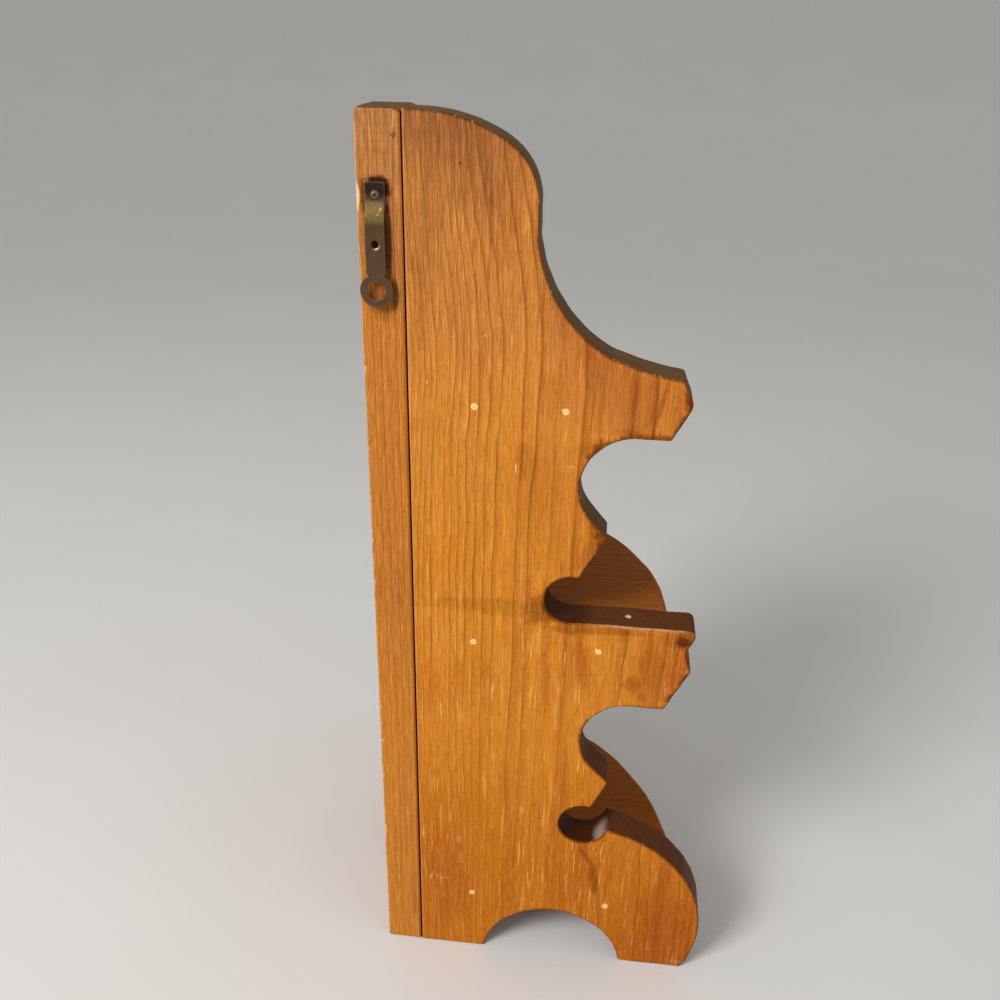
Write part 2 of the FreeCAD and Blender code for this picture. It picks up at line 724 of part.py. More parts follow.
left_nails, left_plugs = shelf_fasteners("left", "X")
right_nails, right_plugs = shelf_fasteners("right", "Y")
joint_nails, joint_plugs = joint_fasteners()
left_filler = group("left_nail_filler", left_plugs + joint_plugs)
right_filler = group("right_nail_filler", right_plugs)
screw = hanger_screw()
strap = hanger_strap()

left_board = side_board("left_board", "YZ_Plane", ZERO, False, "X", "Y")
cut_hanger_seat(left_board)
right_board = side_board("right_board", "XZ_Plane", dim.board_thickness, True, "Y", "X")

nodes = [
    pierced("left_side_panel", left_board, [*left_nails.values(), joint_nails, left_filler, screw]),
    pierced("right_side_panel", right_board, [*right_nails.values(), joint_nails, right_filler]),
]
for level in shelf_height:
    nodes.append(pierced(f"{level}_shelf", shelf_board(level), [left_nails[level], right_nails[level]]))
nodes += [*left_nails.values(), *right_nails.values(), joint_nails]
nodes += [left_filler, right_filler, strap, screw]

doc.recompute()
check_document()
write_nodes(nodes)
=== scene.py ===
"""Looks of a scroll-cut wooden corner shelf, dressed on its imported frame."""

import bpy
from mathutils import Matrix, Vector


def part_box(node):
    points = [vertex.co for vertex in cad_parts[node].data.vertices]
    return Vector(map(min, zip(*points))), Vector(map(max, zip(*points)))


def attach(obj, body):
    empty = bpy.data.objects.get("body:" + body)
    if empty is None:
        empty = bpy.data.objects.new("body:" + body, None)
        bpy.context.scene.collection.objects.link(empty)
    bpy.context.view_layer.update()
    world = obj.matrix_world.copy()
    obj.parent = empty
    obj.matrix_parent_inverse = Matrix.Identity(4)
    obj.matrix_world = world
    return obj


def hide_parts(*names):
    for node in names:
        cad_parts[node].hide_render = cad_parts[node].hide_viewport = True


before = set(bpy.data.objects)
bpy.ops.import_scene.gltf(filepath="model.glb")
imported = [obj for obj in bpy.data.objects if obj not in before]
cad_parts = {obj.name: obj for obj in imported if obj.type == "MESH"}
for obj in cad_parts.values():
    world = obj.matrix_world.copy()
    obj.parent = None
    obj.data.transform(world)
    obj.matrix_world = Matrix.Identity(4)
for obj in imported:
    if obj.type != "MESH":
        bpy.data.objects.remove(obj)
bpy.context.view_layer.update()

import math

import bpy
import numpy as np
from bpy.props import FloatProperty, FloatVectorProperty, IntProperty, PointerProperty
from mathutils import Matrix, Vector
from mathutils.geometry import delaunay_2d_cdt

bl_info = {
    "name": "Corner shelf",
    "version": (1, 0, 0),
    "blender": (4, 5, 0),
    "location": "3D View > Sidebar > Corner shelf",
    "description": "Dresses a scroll-cut wooden corner shelf and its strap hanger",
    "category": "Object",
}

MM = 0.001
AXES = np.eye(3)
LEVELS = ("top", "middle", "bottom")
SIDES = ("left", "right")
FULL_TURN = 2 * math.pi
MICRON = 1e-6
TINY = 1e-12

# Outer corner of the shelf on the floor, where the two wall faces meet
CORNER = np.array([*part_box("left_side_panel")[0]])
PANEL_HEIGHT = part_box("left_side_panel")[1].z


def srgb(red, green, blue):
    """Linear colour of an 8-bit screen colour."""
    screen = np.array([red, green, blue]) / 255
    linear = np.where(screen <= 0.04045, screen / 12.92, ((screen + 0.055) / 1.055) ** 2.4)
    return tuple(float(part) for part in linear)


def length_prop(label, meaning, millimetres):
    """A length that a user can change, given in millimetres and held in metres."""
    return FloatProperty(name=label, description=meaning, default=millimetres * MM, unit="LENGTH",
                         precision=5)


def colour_prop(label, meaning, *screen):
    """A colour that a user can change, given as 8-bit screen values."""
    return FloatVectorProperty(name=label, description=meaning, default=srgb(*screen), subtype="COLOR",
                               size=3, min=0, max=1)


def angle_prop(label, meaning, degrees):
    """An angle that a user can change."""
    return FloatProperty(name=label, description=meaning, default=math.radians(degrees), subtype="ANGLE")


def power_prop(label, meaning, default):
    """A lamp's power that a user can change, in watts."""
    return FloatProperty(name=label, description=meaning, default=default, unit="POWER")


class BoardSettings(bpy.types.PropertyGroup):
    """Edges and marks of the sawn boards."""

    wall_easing: length_prop("Wall edge", "Rounding of the edges next to the wall", 0.8)
    room_easing: length_prop("Room edge", "Rounding of the edges that face the room", 2.0)
    joint_easing: length_prop("Joint edge", "Rounding of the edges in the corner joint", 0.2)
    shelf_easing: length_prop("Shelf edge", "Rounding of a shelf's front edge", 2.5)
    saw_ripple: length_prop("Saw ripple", "Depth of the marks left by the scroll saw", 0.05)
    seam: length_prop("Seam", "Open joint between the two side boards", 0.85)
    crown_easing: length_prop("Crown edge", "Rounding of the left board's worn top edge", 1.5)
    outline_step: length_prop("Outline step", "Spacing of points along an outline", 0.7)
    face_step: length_prop("Face step", "Spacing of points inside a face", 3.0)
    seat_depth: length_prop("Seat depth", "Depth of the chiselled hanger seat", 1.0)
    seat_width: length_prop("Seat width", "Width of the chiselled hanger seat", 11.0)
    seat_above: length_prop("Seat above", "Screw up to the end of the hanger seat", 6.2)
    seat_below: length_prop("Seat below", "Screw down to the end of the hanger seat", 6.6)
    hole_depth: length_prop("Nail hole", "Depth of the filled nail holes", 1.8)
    hole_radius: length_prop("Nail hole radius", "Radius of the filled nail holes", 1.5)


class WoodSettings(bpy.types.PropertyGroup):
    """Colours of the varnished and stained wood."""

    amber_upper: colour_prop("Amber, upper", "Varnished wood near the crown", 158, 98, 52)
    amber_high: colour_prop("Amber, high", "Varnished wood below the crown", 198, 127, 58)
    amber_shoulder: colour_prop("Amber, shoulder", "Varnished wood at the first lobe", 212, 134, 52)
    amber_middle: colour_prop("Amber, middle", "Varnished wood half way up", 216, 133, 37)
    amber_lower: colour_prop("Amber, lower", "Varnished wood near the foot", 200, 115, 15)
    strip_upper: colour_prop("Strip, upper", "Rear edge near the crown", 182, 121, 66)
    strip_middle: colour_prop("Strip, middle", "Rear edge half way up", 196, 119, 44)
    strip_lower: colour_prop("Strip, lower", "Rear edge near the foot", 202, 125, 40)
    ring_line: colour_prop("Ring line", "Dark line of a year ring", 138, 66, 14)
    # Also the colour of the painted glints on the fibres
    pale_streak_and_glint: colour_prop("Pale streak", "Short light streaks in the grain", 250, 186, 96)
    stain_brown: colour_prop("Brown stain", "Tint of stain that ran over the edges", 176, 152, 104)
    # Also the tint of the painted shade round the hanger and in a pin hole
    dark_stain_and_shade: colour_prop("Dark spot", "Tint of the darkest spots of the stain", 86, 64, 60)
    stain_red: colour_prop("Red stain", "Reddish tint of the varnish", 225, 199, 202)
    # Painted shade: tint that darkens the walls of the keyholes
    keyhole_shade: colour_prop("Pooled stain", "Tint where stain pooled in the keyholes", 196, 174, 150)
    joint_red: colour_prop("Joint", "Red stain inside the corner joint", 134, 36, 18)
    scuff: colour_prop("Scuff", "Scratched varnish", 246, 206, 160)
    # Pale colour of the run's thin upper part, partly a painted highlight
    varnish_run: colour_prop("Varnish run", "Thick run of varnish", 204, 142, 88)
    varnish_end: colour_prop("Varnish run end", "Thickest end of the run", 126, 60, 28)
    edge_brown: colour_prop("Stained edge", "Stained sawn edges of the lobes", 97, 52, 20)
    edge_olive: colour_prop("Stained crown", "Stained sawn edge of the crown", 104, 74, 36)
    # Painted highlight on the wall of the lower keyhole
    keyhole_highlight: colour_prop("Bare edge", "Edge where the stain has come off", 176, 156, 140)
    room_brown: colour_prop("Room side", "Stained room side and shelves", 168, 93, 22)
    room_line: colour_prop("Room side line", "Ring lines of the stained wood", 62, 28, 8)


class FillerSettings(bpy.types.PropertyGroup):
    """Filler over the nails."""

    cream: colour_prop("Filler", "Dry wood filler", 255, 226, 158)
    core: colour_prop("Filler core", "Sunk middle of a filled hole", 222, 152, 74)
    proud: length_prop("Proud", "Height of the filler over the board", 0.06)
    nail_steel: colour_prop("Nail steel", "Bare steel of the nails", 150, 148, 144)


class HangerSettings(bpy.types.PropertyGroup):
    """Strap hanger and its screw."""

    thickness: length_prop("Thickness", "Thickness of the strap", 1.2)
    width: length_prop("Width", "Width of the strap's arm", 8.2)
    bore: length_prop("Bore", "Radius of the ring's hole", 4.0)
    spare_hole: length_prop("Spare hole", "Radius of the empty screw hole", 1.6)
    spare_drop: length_prop("Spare hole drop", "Screw down to the empty screw hole", 19.4)
    screw_hole: length_prop("Screw hole", "Radius of the hole for the screw", 1.35)
    nick: length_prop("Nick", "Radius of the nicks above the ring", 0.7)
    countersink: length_prop("Countersink", "Bevel of the empty screw hole", 0.75)
    seat_run: length_prop("Seat run", "Flat seat below the screw", 2.5)
    ramp_run: length_prop("Ramp run", "Sloping part of the strap", 9.0)
    bend: length_prop("Bend", "Softness of the two bends", 0.5)
    edge: length_prop("Edge", "Rounding of the strap's punched edges", 0.22)
    head_radius: length_prop("Screw head", "Radius of the screw's head", 1.9)
    head_height: length_prop("Head height", "Height of the screw's head", 1.1)
    shank_radius: length_prop("Screw shank", "Radius of the screw's shank", 1.3)
    point_run: length_prop("Screw point", "Tapered end of the screw", 4.0)
    bronze: colour_prop("Bronze", "Browned metal of the strap", 106, 78, 54)
    # Bare brass, also partly a painted highlight where the ramp faces up
    brass: colour_prop("Brass", "Metal rubbed bare on the ramp", 102, 80, 33)
    olive: colour_prop("Olive brass", "Brass that has darkened below the ramp", 76, 60, 22)
    # Also the colour of the painted shade over the strap's top end and in the screw's cross recess
    tarnish: colour_prop("Tarnish", "Dark tarnish in the corners", 38, 27, 19)
    # Also the colour of the painted highlights round the screw's head and on the empty screw hole's far
    # rim
    bright: colour_prop("Bright metal", "Worn edges and scratches", 196, 176, 148)
    screw_grey: colour_prop("Screw", "Darkened steel of the screw", 128, 108, 86)


class StageSettings(bpy.types.PropertyGroup):
    """Floor, light and camera."""

    floor: colour_prop("Floor", "Plain pale floor and backdrop", 226, 224, 220)
    key_power: power_prop("Key light", "Power of the large soft lamp", 21.5)
    fill_power: power_prop("Fill light", "Power of the soft lamp on the right", 3.0)
    sky: FloatProperty(name="Sky", description="Brightness of the even light all round", default=0.42,
                       subtype="FACTOR")
    lens: FloatProperty(name="Lens", description="Focal length", default=36.0, unit="CAMERA")
    sensor: FloatProperty(name="Sensor", description="Width of the sensor", default=36.0, unit="CAMERA")
    stand: FloatVectorProperty(name="Camera place", description="Camera from the shelf's outer corner",
                               default=(106.527 * MM, -409.752 * MM, 490.692 * MM), subtype="TRANSLATION")
    pitch: angle_prop("Pitch", "Downward tilt", 25.9261)
    yaw: angle_prop("Yaw", "Turn to the left", 6.3289)
    roll: angle_prop("Roll", "Turn about the line of sight", -1.0150)


class CornerShelfSettings(bpy.types.PropertyGroup):
    """Everything that a user would change."""

    boards: PointerProperty(type=BoardSettings)
    wood: PointerProperty(type=WoodSettings)
    filler: PointerProperty(type=FillerSettings)
    hanger: PointerProperty(type=HangerSettings)
    stage: PointerProperty(type=StageSettings)
    seed: IntProperty(name="Seed", description="Starting number of the small irregularities", default=7,
                      subtype="UNSIGNED")


# Numbers and curves

# Sines in a wobble, and the range of their paces as shares of its own
WOBBLE_TERMS = 5
WOBBLE_PACES = (0.5, 1.8)
# Turns of an outline that count as straight and as a sharp corner
STRAIGHT_TURN = math.radians(0.3)
SHARP_TURN = math.radians(36)
# A run so many times longer than the next one is straight
LONG_RUN = 2.5
# Points of an outline that lie closer than this are one
SAME_POINT = 0.02 * MM
# Averagings that round an outline's corners a little
CORNER_ROUNDS = 2
# Points that are measured against an outline at one time
BATCH = 400


def wander(values, period, seed):
    """Smooth seeded wobble between about -1 and 1: a sum of sines whose waves are near the period."""
    rng = np.random.default_rng(seed)
    values = np.atleast_2d(values) if np.ndim(values) == 1 else np.asarray(values).T
    pace = FULL_TURN / period * rng.uniform(*WOBBLE_PACES, (WOBBLE_TERMS, 1))
    waves = pace * unit(rng.normal(size=(WOBBLE_TERMS, len(values))))
    phases = rng.uniform(0, FULL_TURN, WOBBLE_TERMS)
    return np.sin(waves @ values + phases[:, None]).sum(0) / math.sqrt(WOBBLE_TERMS)


def unit(vectors):
    """Vectors of length one."""
    return vectors / np.maximum(np.linalg.norm(vectors, axis=-1, keepdims=True), TINY)


def smoothstep(values, low, high):
    """0 below low, 1 above high and an S-curve between."""
    share = np.clip((values - low) / (high - low), 0, 1)
    return share * share * (3 - 2 * share)


def node_triangles(node):
    """Merged corner points of a frame node, and its triangles as rows of three point numbers."""
    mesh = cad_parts[node].data
    mesh.calc_loop_triangles()
    places = np.empty(len(mesh.vertices) * 3, np.float32)
    mesh.vertices.foreach_get("co", places)
    corners = np.empty(len(mesh.loop_triangles) * 3, np.int32)
    mesh.loop_triangles.foreach_get("vertices", corners)
    points, number = np.unique(places.reshape(-1, 3), axis=0, return_inverse=True)
    return points.astype(float), number.reshape(-1)[corners].reshape(-1, 3)


def longest_ring(follower, length):
    """Order of the items of the longest closed ring, when each item names the one that follows it.

    Every item looks 1, 2, 4, 8 ... items ahead: first to find the lowest number in its ring, which
    names the ring, and then to count its steps to the ring's last item.
    """
    doublings = int(math.log2(len(follower))) + 2
    name = np.arange(len(follower))
    ahead = follower
    for _ in range(doublings):
        name = np.minimum(name, name[ahead])
        ahead = ahead[ahead]
    first = np.bincount(name, weights=length).argmax()
    last = np.flatnonzero(follower == first)[0]
    ahead = follower.copy()
    ahead[last] = last
    steps = (np.arange(len(follower)) != last).astype(int)
    for _ in range(doublings):
        steps = steps + steps[ahead]
        ahead = ahead[ahead]
    members = np.flatnonzero(name == first)
    return members[np.argsort(-steps[members])]


def section_outline(node, axis, level):
    """Longest closed line in which a level plane across an axis cuts a frame node.

    A triangle with corners on both sides of the plane gives one short run between the two of its
    edges that the plane cuts. Two runs follow each other where they share a cut edge.
    """
    points, triangles = node_triangles(node)
    above = points[triangles, axis] > level
    cut = above.any(1) & ~above.all(1)
    triangles, above = triangles[cut], above[cut]
    lone_above = above.sum(1) == 1
    lone = np.where(lone_above, above.argmax(1), (~above).argmax(1))
    turned = np.take_along_axis(triangles, (lone[:, None] + np.arange(3)) % 3, 1)
    others = np.where(lone_above[:, None], turned[:, 1:], turned[:, :0:-1])
    start, end = points[turned[:, 0]][:, None], points[others]
    share = (level - start[..., axis]) / (end[..., axis] - start[..., axis])
    ends = start + share[..., None] * (end - start)
    low = np.minimum(turned[:, :1], others)
    high = np.maximum(turned[:, :1], others)
    edge = low.astype(np.int64) * len(points) + high
    by_start = np.argsort(edge[:, 0])
    follower = by_start[np.searchsorted(edge[by_start, 0], edge[:, 1])]
    order = longest_ring(follower, np.linalg.norm(ends[:, 1] - ends[:, 0], axis=1))
    return np.delete(ends[order, 0], axis, axis=1)


def turning(loop):
    """Turn at each point of a closed line, from the run before it to the run after it."""
    after = unit(np.roll(loop, -1, 0) - loop)
    before = np.roll(after, 1, 0)
    cross = before[:, 0] * after[:, 1] - before[:, 1] * after[:, 0]
    return np.arctan2(cross, (before * after).sum(1))


def soften(values, rounds):
    """Values round a closed line, averaged with their neighbours again and again."""
    for _ in range(rounds):
        values = (np.roll(values, 1, 0) + 2 * values + np.roll(values, -1, 0)) / 4
    return values


def smooth_loop(loop, step):
    """A closed line through the given points at even small steps, counter-clockwise.

    Each run is a cubic Hermite curve. Its end headings are those of the circle through three points,
    or of the straight run where a long run meets a short one. At a sharp corner the heading is the
    mirror image of the one at the run's other end. The last averaging rounds the corners a little.
    """
    loop = loop[np.abs(turning(loop)) > STRAIGHT_TURN]
    spare = np.roll(loop, -1, 0)
    loop = loop[np.linalg.norm(spare - loop, axis=1) > SAME_POINT]
    area = (loop[:, 0] * np.roll(loop[:, 1], -1) - loop[:, 1] * np.roll(loop[:, 0], -1)).sum()
    loop = loop if area > 0 else loop[::-1]
    run = np.roll(loop, -1, 0) - loop
    length = np.linalg.norm(run, axis=1)
    after = unit(run)
    before, before_length = np.roll(after, 1, 0), np.roll(length, 1)
    heading = unit(before * length[:, None] + after * before_length[:, None])
    heading = np.where((before_length > LONG_RUN * length)[:, None], before, heading)
    heading = np.where((length > LONG_RUN * before_length)[:, None], after, heading)
    sharp = np.abs(turning(loop)) > SHARP_TURN
    sharp_end = np.roll(sharp, -1)
    leave, arrive = heading.copy(), np.roll(heading, -1, 0)
    mirrored = 2 * (arrive * after).sum(1, keepdims=True) * after - arrive
    leave = np.where(sharp[:, None], np.where(sharp_end[:, None], after, mirrored), leave)
    mirrored = 2 * (leave * after).sum(1, keepdims=True) * after - leave
    arrive = np.where(sharp_end[:, None], mirrored, arrive)
    pieces = np.maximum(1, np.round(length / step)).astype(int)
    row = np.repeat(np.arange(len(loop)), pieces)
    place = np.arange(len(row)) - np.repeat(np.cumsum(pieces) - pieces, pieces)
    share = (place / pieces[row])[:, None]
    size = length[row, None]
    curve = ((2 * share ** 3 - 3 * share ** 2 + 1) * loop[row]
             + (share ** 3 - 2 * share ** 2 + share) * leave[row] * size
             + (3 * share ** 2 - 2 * share ** 3) * np.roll(loop, -1, 0)[row]
             + (share ** 3 - share ** 2) * arrive[row] * size)
    return soften(curve, CORNER_ROUNDS)


def inward(loop):
    """Unit vectors that point into a counter-clockwise closed line."""
    along = unit(np.roll(loop, -1, 0) - np.roll(loop, 1, 0))
    return np.stack([-along[:, 1], along[:, 0]], 1)


def loop_length(loop):
    """Distance along a closed line at each of its points."""
    runs = np.linalg.norm(np.roll(loop, -1, 0) - loop, axis=1)
    return np.cumsum(runs) - runs


def nearest_on_loop(points, loop):
    """Distance from each point to a closed line, and the number of the nearest run."""
    run = np.roll(loop, -1, 0) - loop
    square = np.maximum((run ** 2).sum(1), TINY ** 2)
    distance = np.empty(len(points))
    number = np.empty(len(points), int)
    for first in range(0, len(points), BATCH):
        part = slice(first, first + BATCH)
        gap = points[part, None] - loop
        share = np.clip((gap * run).sum(2) / square, 0, 1)
        reach = ((gap - share[..., None] * run) ** 2).sum(2)
        number[part] = reach.argmin(1)
        distance[part] = np.sqrt(reach.min(1))
    return distance, number


def inside_loop(points, loop):
    """True for points inside a closed line: a ray to the right crosses it an odd number of times."""
    ahead = np.roll(loop, -1, 0)
    low = points[:, None, 1] < loop[:, 1]
    crosses = low != (points[:, None, 1] < ahead[:, 1])
    rise = np.where(ahead[:, 1] == loop[:, 1], 1, ahead[:, 1] - loop[:, 1])
    meet = loop[:, 0] + (points[:, None, 1] - loop[:, 1]) / rise * (ahead[:, 0] - loop[:, 0])
    return (crosses & (meet > points[:, None, 0])).sum(1) % 2 == 1


def lattice(low, high, step):
    """Staggered grid of points over a rectangle."""
    across = np.arange(low[0], high[0], step)
    up = np.arange(low[1], high[1], step * math.sqrt(0.75))
    grid = np.stack(np.meshgrid(across, up), -1)
    grid[1::2, :, 0] += step / 2
    return grid.reshape(-1, 2)


def easing(distance, radius):
    """Depth of a rounded edge: a quarter circle that meets the face one radius in from the outline."""
    inset = np.clip(radius - distance, 0, radius)
    return radius - np.sqrt(np.maximum(radius ** 2 - inset ** 2, 0))


def triangulate(points, edges, output):
    """Delaunay triangles of points in a plane, turned counter-clockwise."""
    found, _, faces, _, _, _ = delaunay_2d_cdt((points / MM).tolist(), edges, [], output, MICRON)
    if len(found) != len(points):
        raise RuntimeError("some points of a face fell together")
    return np.array(faces, int)


def grid_faces(rows, columns, closed):
    """Four-cornered faces of a grid whose points are numbered row by row."""
    first = np.arange(rows - 1)[:, None] * columns
    here = np.arange(columns if closed else columns - 1)[None]
    there = (here + 1) % columns
    corners = [first + here, first + there, first + columns + there, first + columns + here]
    return np.stack(corners, -1).reshape(-1, 4)


def closed_tube(rings):
    """Points and faces of rows of rings whose first and last ring shrink to one point each."""
    rows, columns = rings.shape[:2]
    inner = rings[1:-1].reshape(-1, 3)
    points = np.concatenate([rings[0, :1], inner, rings[-1, :1]])
    here = np.arange(columns)
    there = (here + 1) % columns
    last = 1 + (rows - 3) * columns
    start = np.column_stack([np.zeros(columns, int), 1 + there, 1 + here])
    end = np.column_stack([last + here, last + there, np.full(columns, len(points) - 1)])
    return points, [start, grid_faces(rows - 2, columns, True) + 1, end]


def tube_marks(values, columns):
    """Values of a closed tube's rows, given to each of its points."""
    return np.concatenate([values[:1], np.repeat(values[1:-1], columns), values[-1:]])


def ring_spots(centre, radius, count):
    """Even points on a circle."""
    angle = np.arange(count) * FULL_TURN / count
    return centre + radius * np.stack([np.cos(angle), np.sin(angle)], 1)


# Meshes and pieces

# Turn between two faces past which their shared edge is drawn sharp
SHARP_EDGE = math.radians(42)
# Rows of points on a sawn face: shares of its easing, and distances past the easing
EASING_ROWS = (0.1, 0.35, 0.68, 1.0)
HOLD = 0.35 * MM
FACE_ROWS = (HOLD, 4 * HOLD, 3 * MM)
# Distance from the easing to the even points of a face, and share of a row's distance that must be kept
FACE_MARGIN = 5 * MM
ROW_SLACK = 0.97
# Square of a face that holds one point at most
POINT_CELL = 0.12 * MM
# Unevenness of an easing along an outline, and the length of its waves
EASING_WOBBLE = 0.25
EASING_PERIOD = 45 * MM
# Rings of points in a nail hole, as shares of its radius and depth, and the points in a ring
HOLE_RINGS = ((0, 1), (0.9, 1), (0.97, 1), (1.0, 0.05), (1.25, 0.02), (1.9, 0))
HOLE_POINTS = 20
# Cleared radius round a nail hole in hole radii, and the distance to an edge that its points report
HOLE_CLEARANCE = 2.4
HOLE_EDGE = 20 * MM
# Gap between two nail holes that keeps them apart
PLUG_GAP = 5 * MM


def new_object(name, data):
    """A new object in the scene."""
    item = bpy.data.objects.new(name, data)
    bpy.context.scene.collection.objects.link(item)
    return item


def new_piece(name, points, face_sets, material, body, nodes, marks):
    """A mesh object at the origin, with its place in its mesh, riding on a body for the given nodes."""
    mesh = bpy.data.meshes.new(name)
    faces = [row for rows in face_sets for row in rows.tolist()]
    mesh.from_pydata(points.tolist(), [], faces)
    for label, values in marks.items():
        attribute = mesh.attributes.new(label, "FLOAT", "POINT")
        attribute.data.foreach_set("value", np.ascontiguousarray(values, np.float32))
    mesh.shade_smooth()
    mesh.set_sharp_from_angle(angle=SHARP_EDGE)
    mesh.materials.append(material)
    piece = new_object(name, mesh)
    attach(piece, body)
    if nodes:
        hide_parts(*nodes)
    return piece


class Plate:
    """A sawn board: two faces over one outline, joined by a wall.

    A point of a face lies at the depth of the easing there, a quarter circle of the distance to the
    outline. The wall carries a straight profile along the outline, from one easing to the other.
    """

    def __init__(self, loop, front, back, thickness, settings, pits=()):
        self.loop, self.front, self.back, self.thickness = loop, front, back, thickness
        self.settings, self.pits = settings, pits

    def face(self, radius, pits, seed):
        """Points, depths, edge distances and triangles of one face, the outline's points first."""
        loop, facing = self.loop, inward(self.loop)
        radius = radius * (1 + EASING_WOBBLE * wander(loop_length(loop), EASING_PERIOD, seed))
        insets = [radius * share for share in EASING_ROWS] + [radius + row for row in FACE_ROWS]
        fill = lattice(loop.min(0), loop.max(0), self.settings.face_step)
        fill = fill[inside_loop(fill, loop)]
        points = np.concatenate([loop + facing * inset[:, None] for inset in insets] + [fill])
        wanted = np.concatenate(insets + [np.full(len(fill), radius.max() + FACE_MARGIN)])
        distance, number = nearest_on_loop(points, loop)
        kept = distance > wanted * ROW_SLACK - MICRON
        for pit in pits:
            kept &= np.linalg.norm(points - pit, axis=1) > HOLE_CLEARANCE * self.settings.hole_radius
        points, distance, number = points[kept], distance[kept], number[kept]
        _, first = np.unique(np.round(points / POINT_CELL).astype(int), axis=0, return_index=True)
        points, distance, number = points[first], distance[first], number[first]
        sets = [(loop, radius, np.zeros(len(loop))), (points, easing(distance, radius[number]), distance)]
        for pit in pits:
            for share, sunk in HOLE_RINGS:
                spots = ring_spots(pit, share * self.settings.hole_radius, HOLE_POINTS if share else 1)
                depth = np.full(len(spots), sunk * self.settings.hole_depth)
                sets.append((spots, depth, np.full(len(spots), HOLE_EDGE)))
        points, depth, distance = (np.concatenate(parts) for parts in zip(*sets))
        count = len(loop)
        edges = [(i, (i + 1) % count) for i in range(count)]
        return points, depth, distance, triangulate(points, edges, 1)

    def build(self, rows, wall_stain, seed):
        """Points as (across, up, depth), faces, and the marks that the materials read."""
        count = len(self.loop)
        faces = [self.face(self.front, self.pits, seed), self.face(self.back, (), seed + 1)]
        (flat, sunk, inset, triangles), (flat_2, sunk_2, inset_2, triangles_2) = faces
        middle = np.array(rows[1:-1])[:, None]
        low, high = sunk[:count], self.thickness - sunk_2[:count]
        wall_depth = low + middle * (high - low)
        wall = np.concatenate([np.tile(self.loop, (len(middle), 1)), wall_depth.reshape(-1, 1)], 1)
        points = np.concatenate([np.column_stack([flat, sunk]), wall,
                                 np.column_stack([flat_2, self.thickness - sunk_2])])
        base = len(flat)
        base_2 = base + len(wall)
        rim, rim_2 = np.arange(count), base_2 + np.arange(count)
        number = np.concatenate([rim, base + np.arange(len(wall)), rim_2])
        strip = number[grid_faces(len(rows), count, True)]
        stained = np.concatenate([np.where(inset > 0, 0, 1.0), np.ones(len(wall)), np.ones(len(flat_2))])
        stained[:count] = wall_stain
        stained[base:base_2] = np.tile(wall_stain, len(middle))
        arris = np.minimum(wall_depth - low, high - wall_depth).reshape(-1)
        edge = np.concatenate([inset, arris, inset_2])
        marks = {"stained": stained, "edge_mm": edge / MM}
        return points, [triangles, triangles_2[:, ::-1] + base_2, strip[:, ::-1]], marks


def in_space(points, across, up, depth, origin):
    """Points given as (across, up, depth) put along three axes of the frame."""
    return origin + points[:, :1] * across + points[:, 1:2] * up + points[:, 2:] * depth


def turned_out(faces, across, up, depth):
    """Faces turned to point outwards, whichever hand the three axes have."""
    if np.dot(np.cross(across, up), depth) < 0:
        return faces
    return [rows[:, ::-1] for rows in faces]


def groups_by_gap(values, gap):
    """Sorted numbers of the values, split wherever two neighbours lie further apart than the gap."""
    order = np.argsort(values)
    return np.split(order, np.flatnonzero(np.diff(values[order]) > gap) + 1)


def plug_centres(side):
    """Centres of the filled nail holes on a side board's wall face, as (across, up)."""
    points, _ = node_triangles(f"{side}_nail_filler")
    flat = points[:, [1, 2]] if side == "left" else points[:, [0, 2]]
    centres = []
    for level in groups_by_gap(flat[:, 1], PLUG_GAP):
        for plug in groups_by_gap(flat[level, 0], PLUG_GAP):
            centres.append((flat[level][plug].min(0) + flat[level][plug].max(0)) / 2)
    return centres


# Node trees

# Noises by use: lumps per millimetre across and along the grain, detail and roughness
NOISES = {
    "swing": (1 / 70, 1 / 240, 2.0, 0.5),
    "quick": (1 / 18, 1 / 48, 2.0, 0.5),
    "broken": (1 / 5, 1 / 45, 1.0, 0.5),
    "early": (0.3, 0.045, 2.0, 0.5),
    "fine_fibre": (2.2, 0.1, 3.0, 0.65),
    "broad_fibre": (0.9, 0.02, 2.0, 0.6),
    "streak": (0.62, 0.045, 2.0, 0.6),
    "band": (0.12, 0.007, 3.0, 0.6),
    "pore": (1.9, 0.24, 2.0, 0.5),
    "tone": (1 / 20, 1 / 70, 3.0, 0.6),
    "edge_rough": (0.5, 0.3, 4.0, 0.65),
    "edge_patch": (1 / 13, 1 / 13, 2.0, 0.5),
    "edge_fleck": (0.6, 0.35, 2.0, 0.5),
    "tarnish": (0.35, 0.22, 4.0, 0.65),
    "scratch": (4.0, 0.5, 3.0, 0.6),
    "pit": (3.0, 3.0, 2.0, 0.5),
    "coarse": (0.2, 0.11, 4.0, 0.65),
    "grainy": (1.3, 0.4, 3.0, 0.6),
    "crowd": (1 / 9, 1 / 150, 1.0, 0.5),
    "sawn": (0.05, 1.6, 2.0, 0.5),
    "crumb": (1.6, 1.6, 3.0, 0.6),
    "varnish": (0.9, 0.4, 3.0, 0.6),
    "floor": (7.0, 7.0, 3.0, 0.5),
}


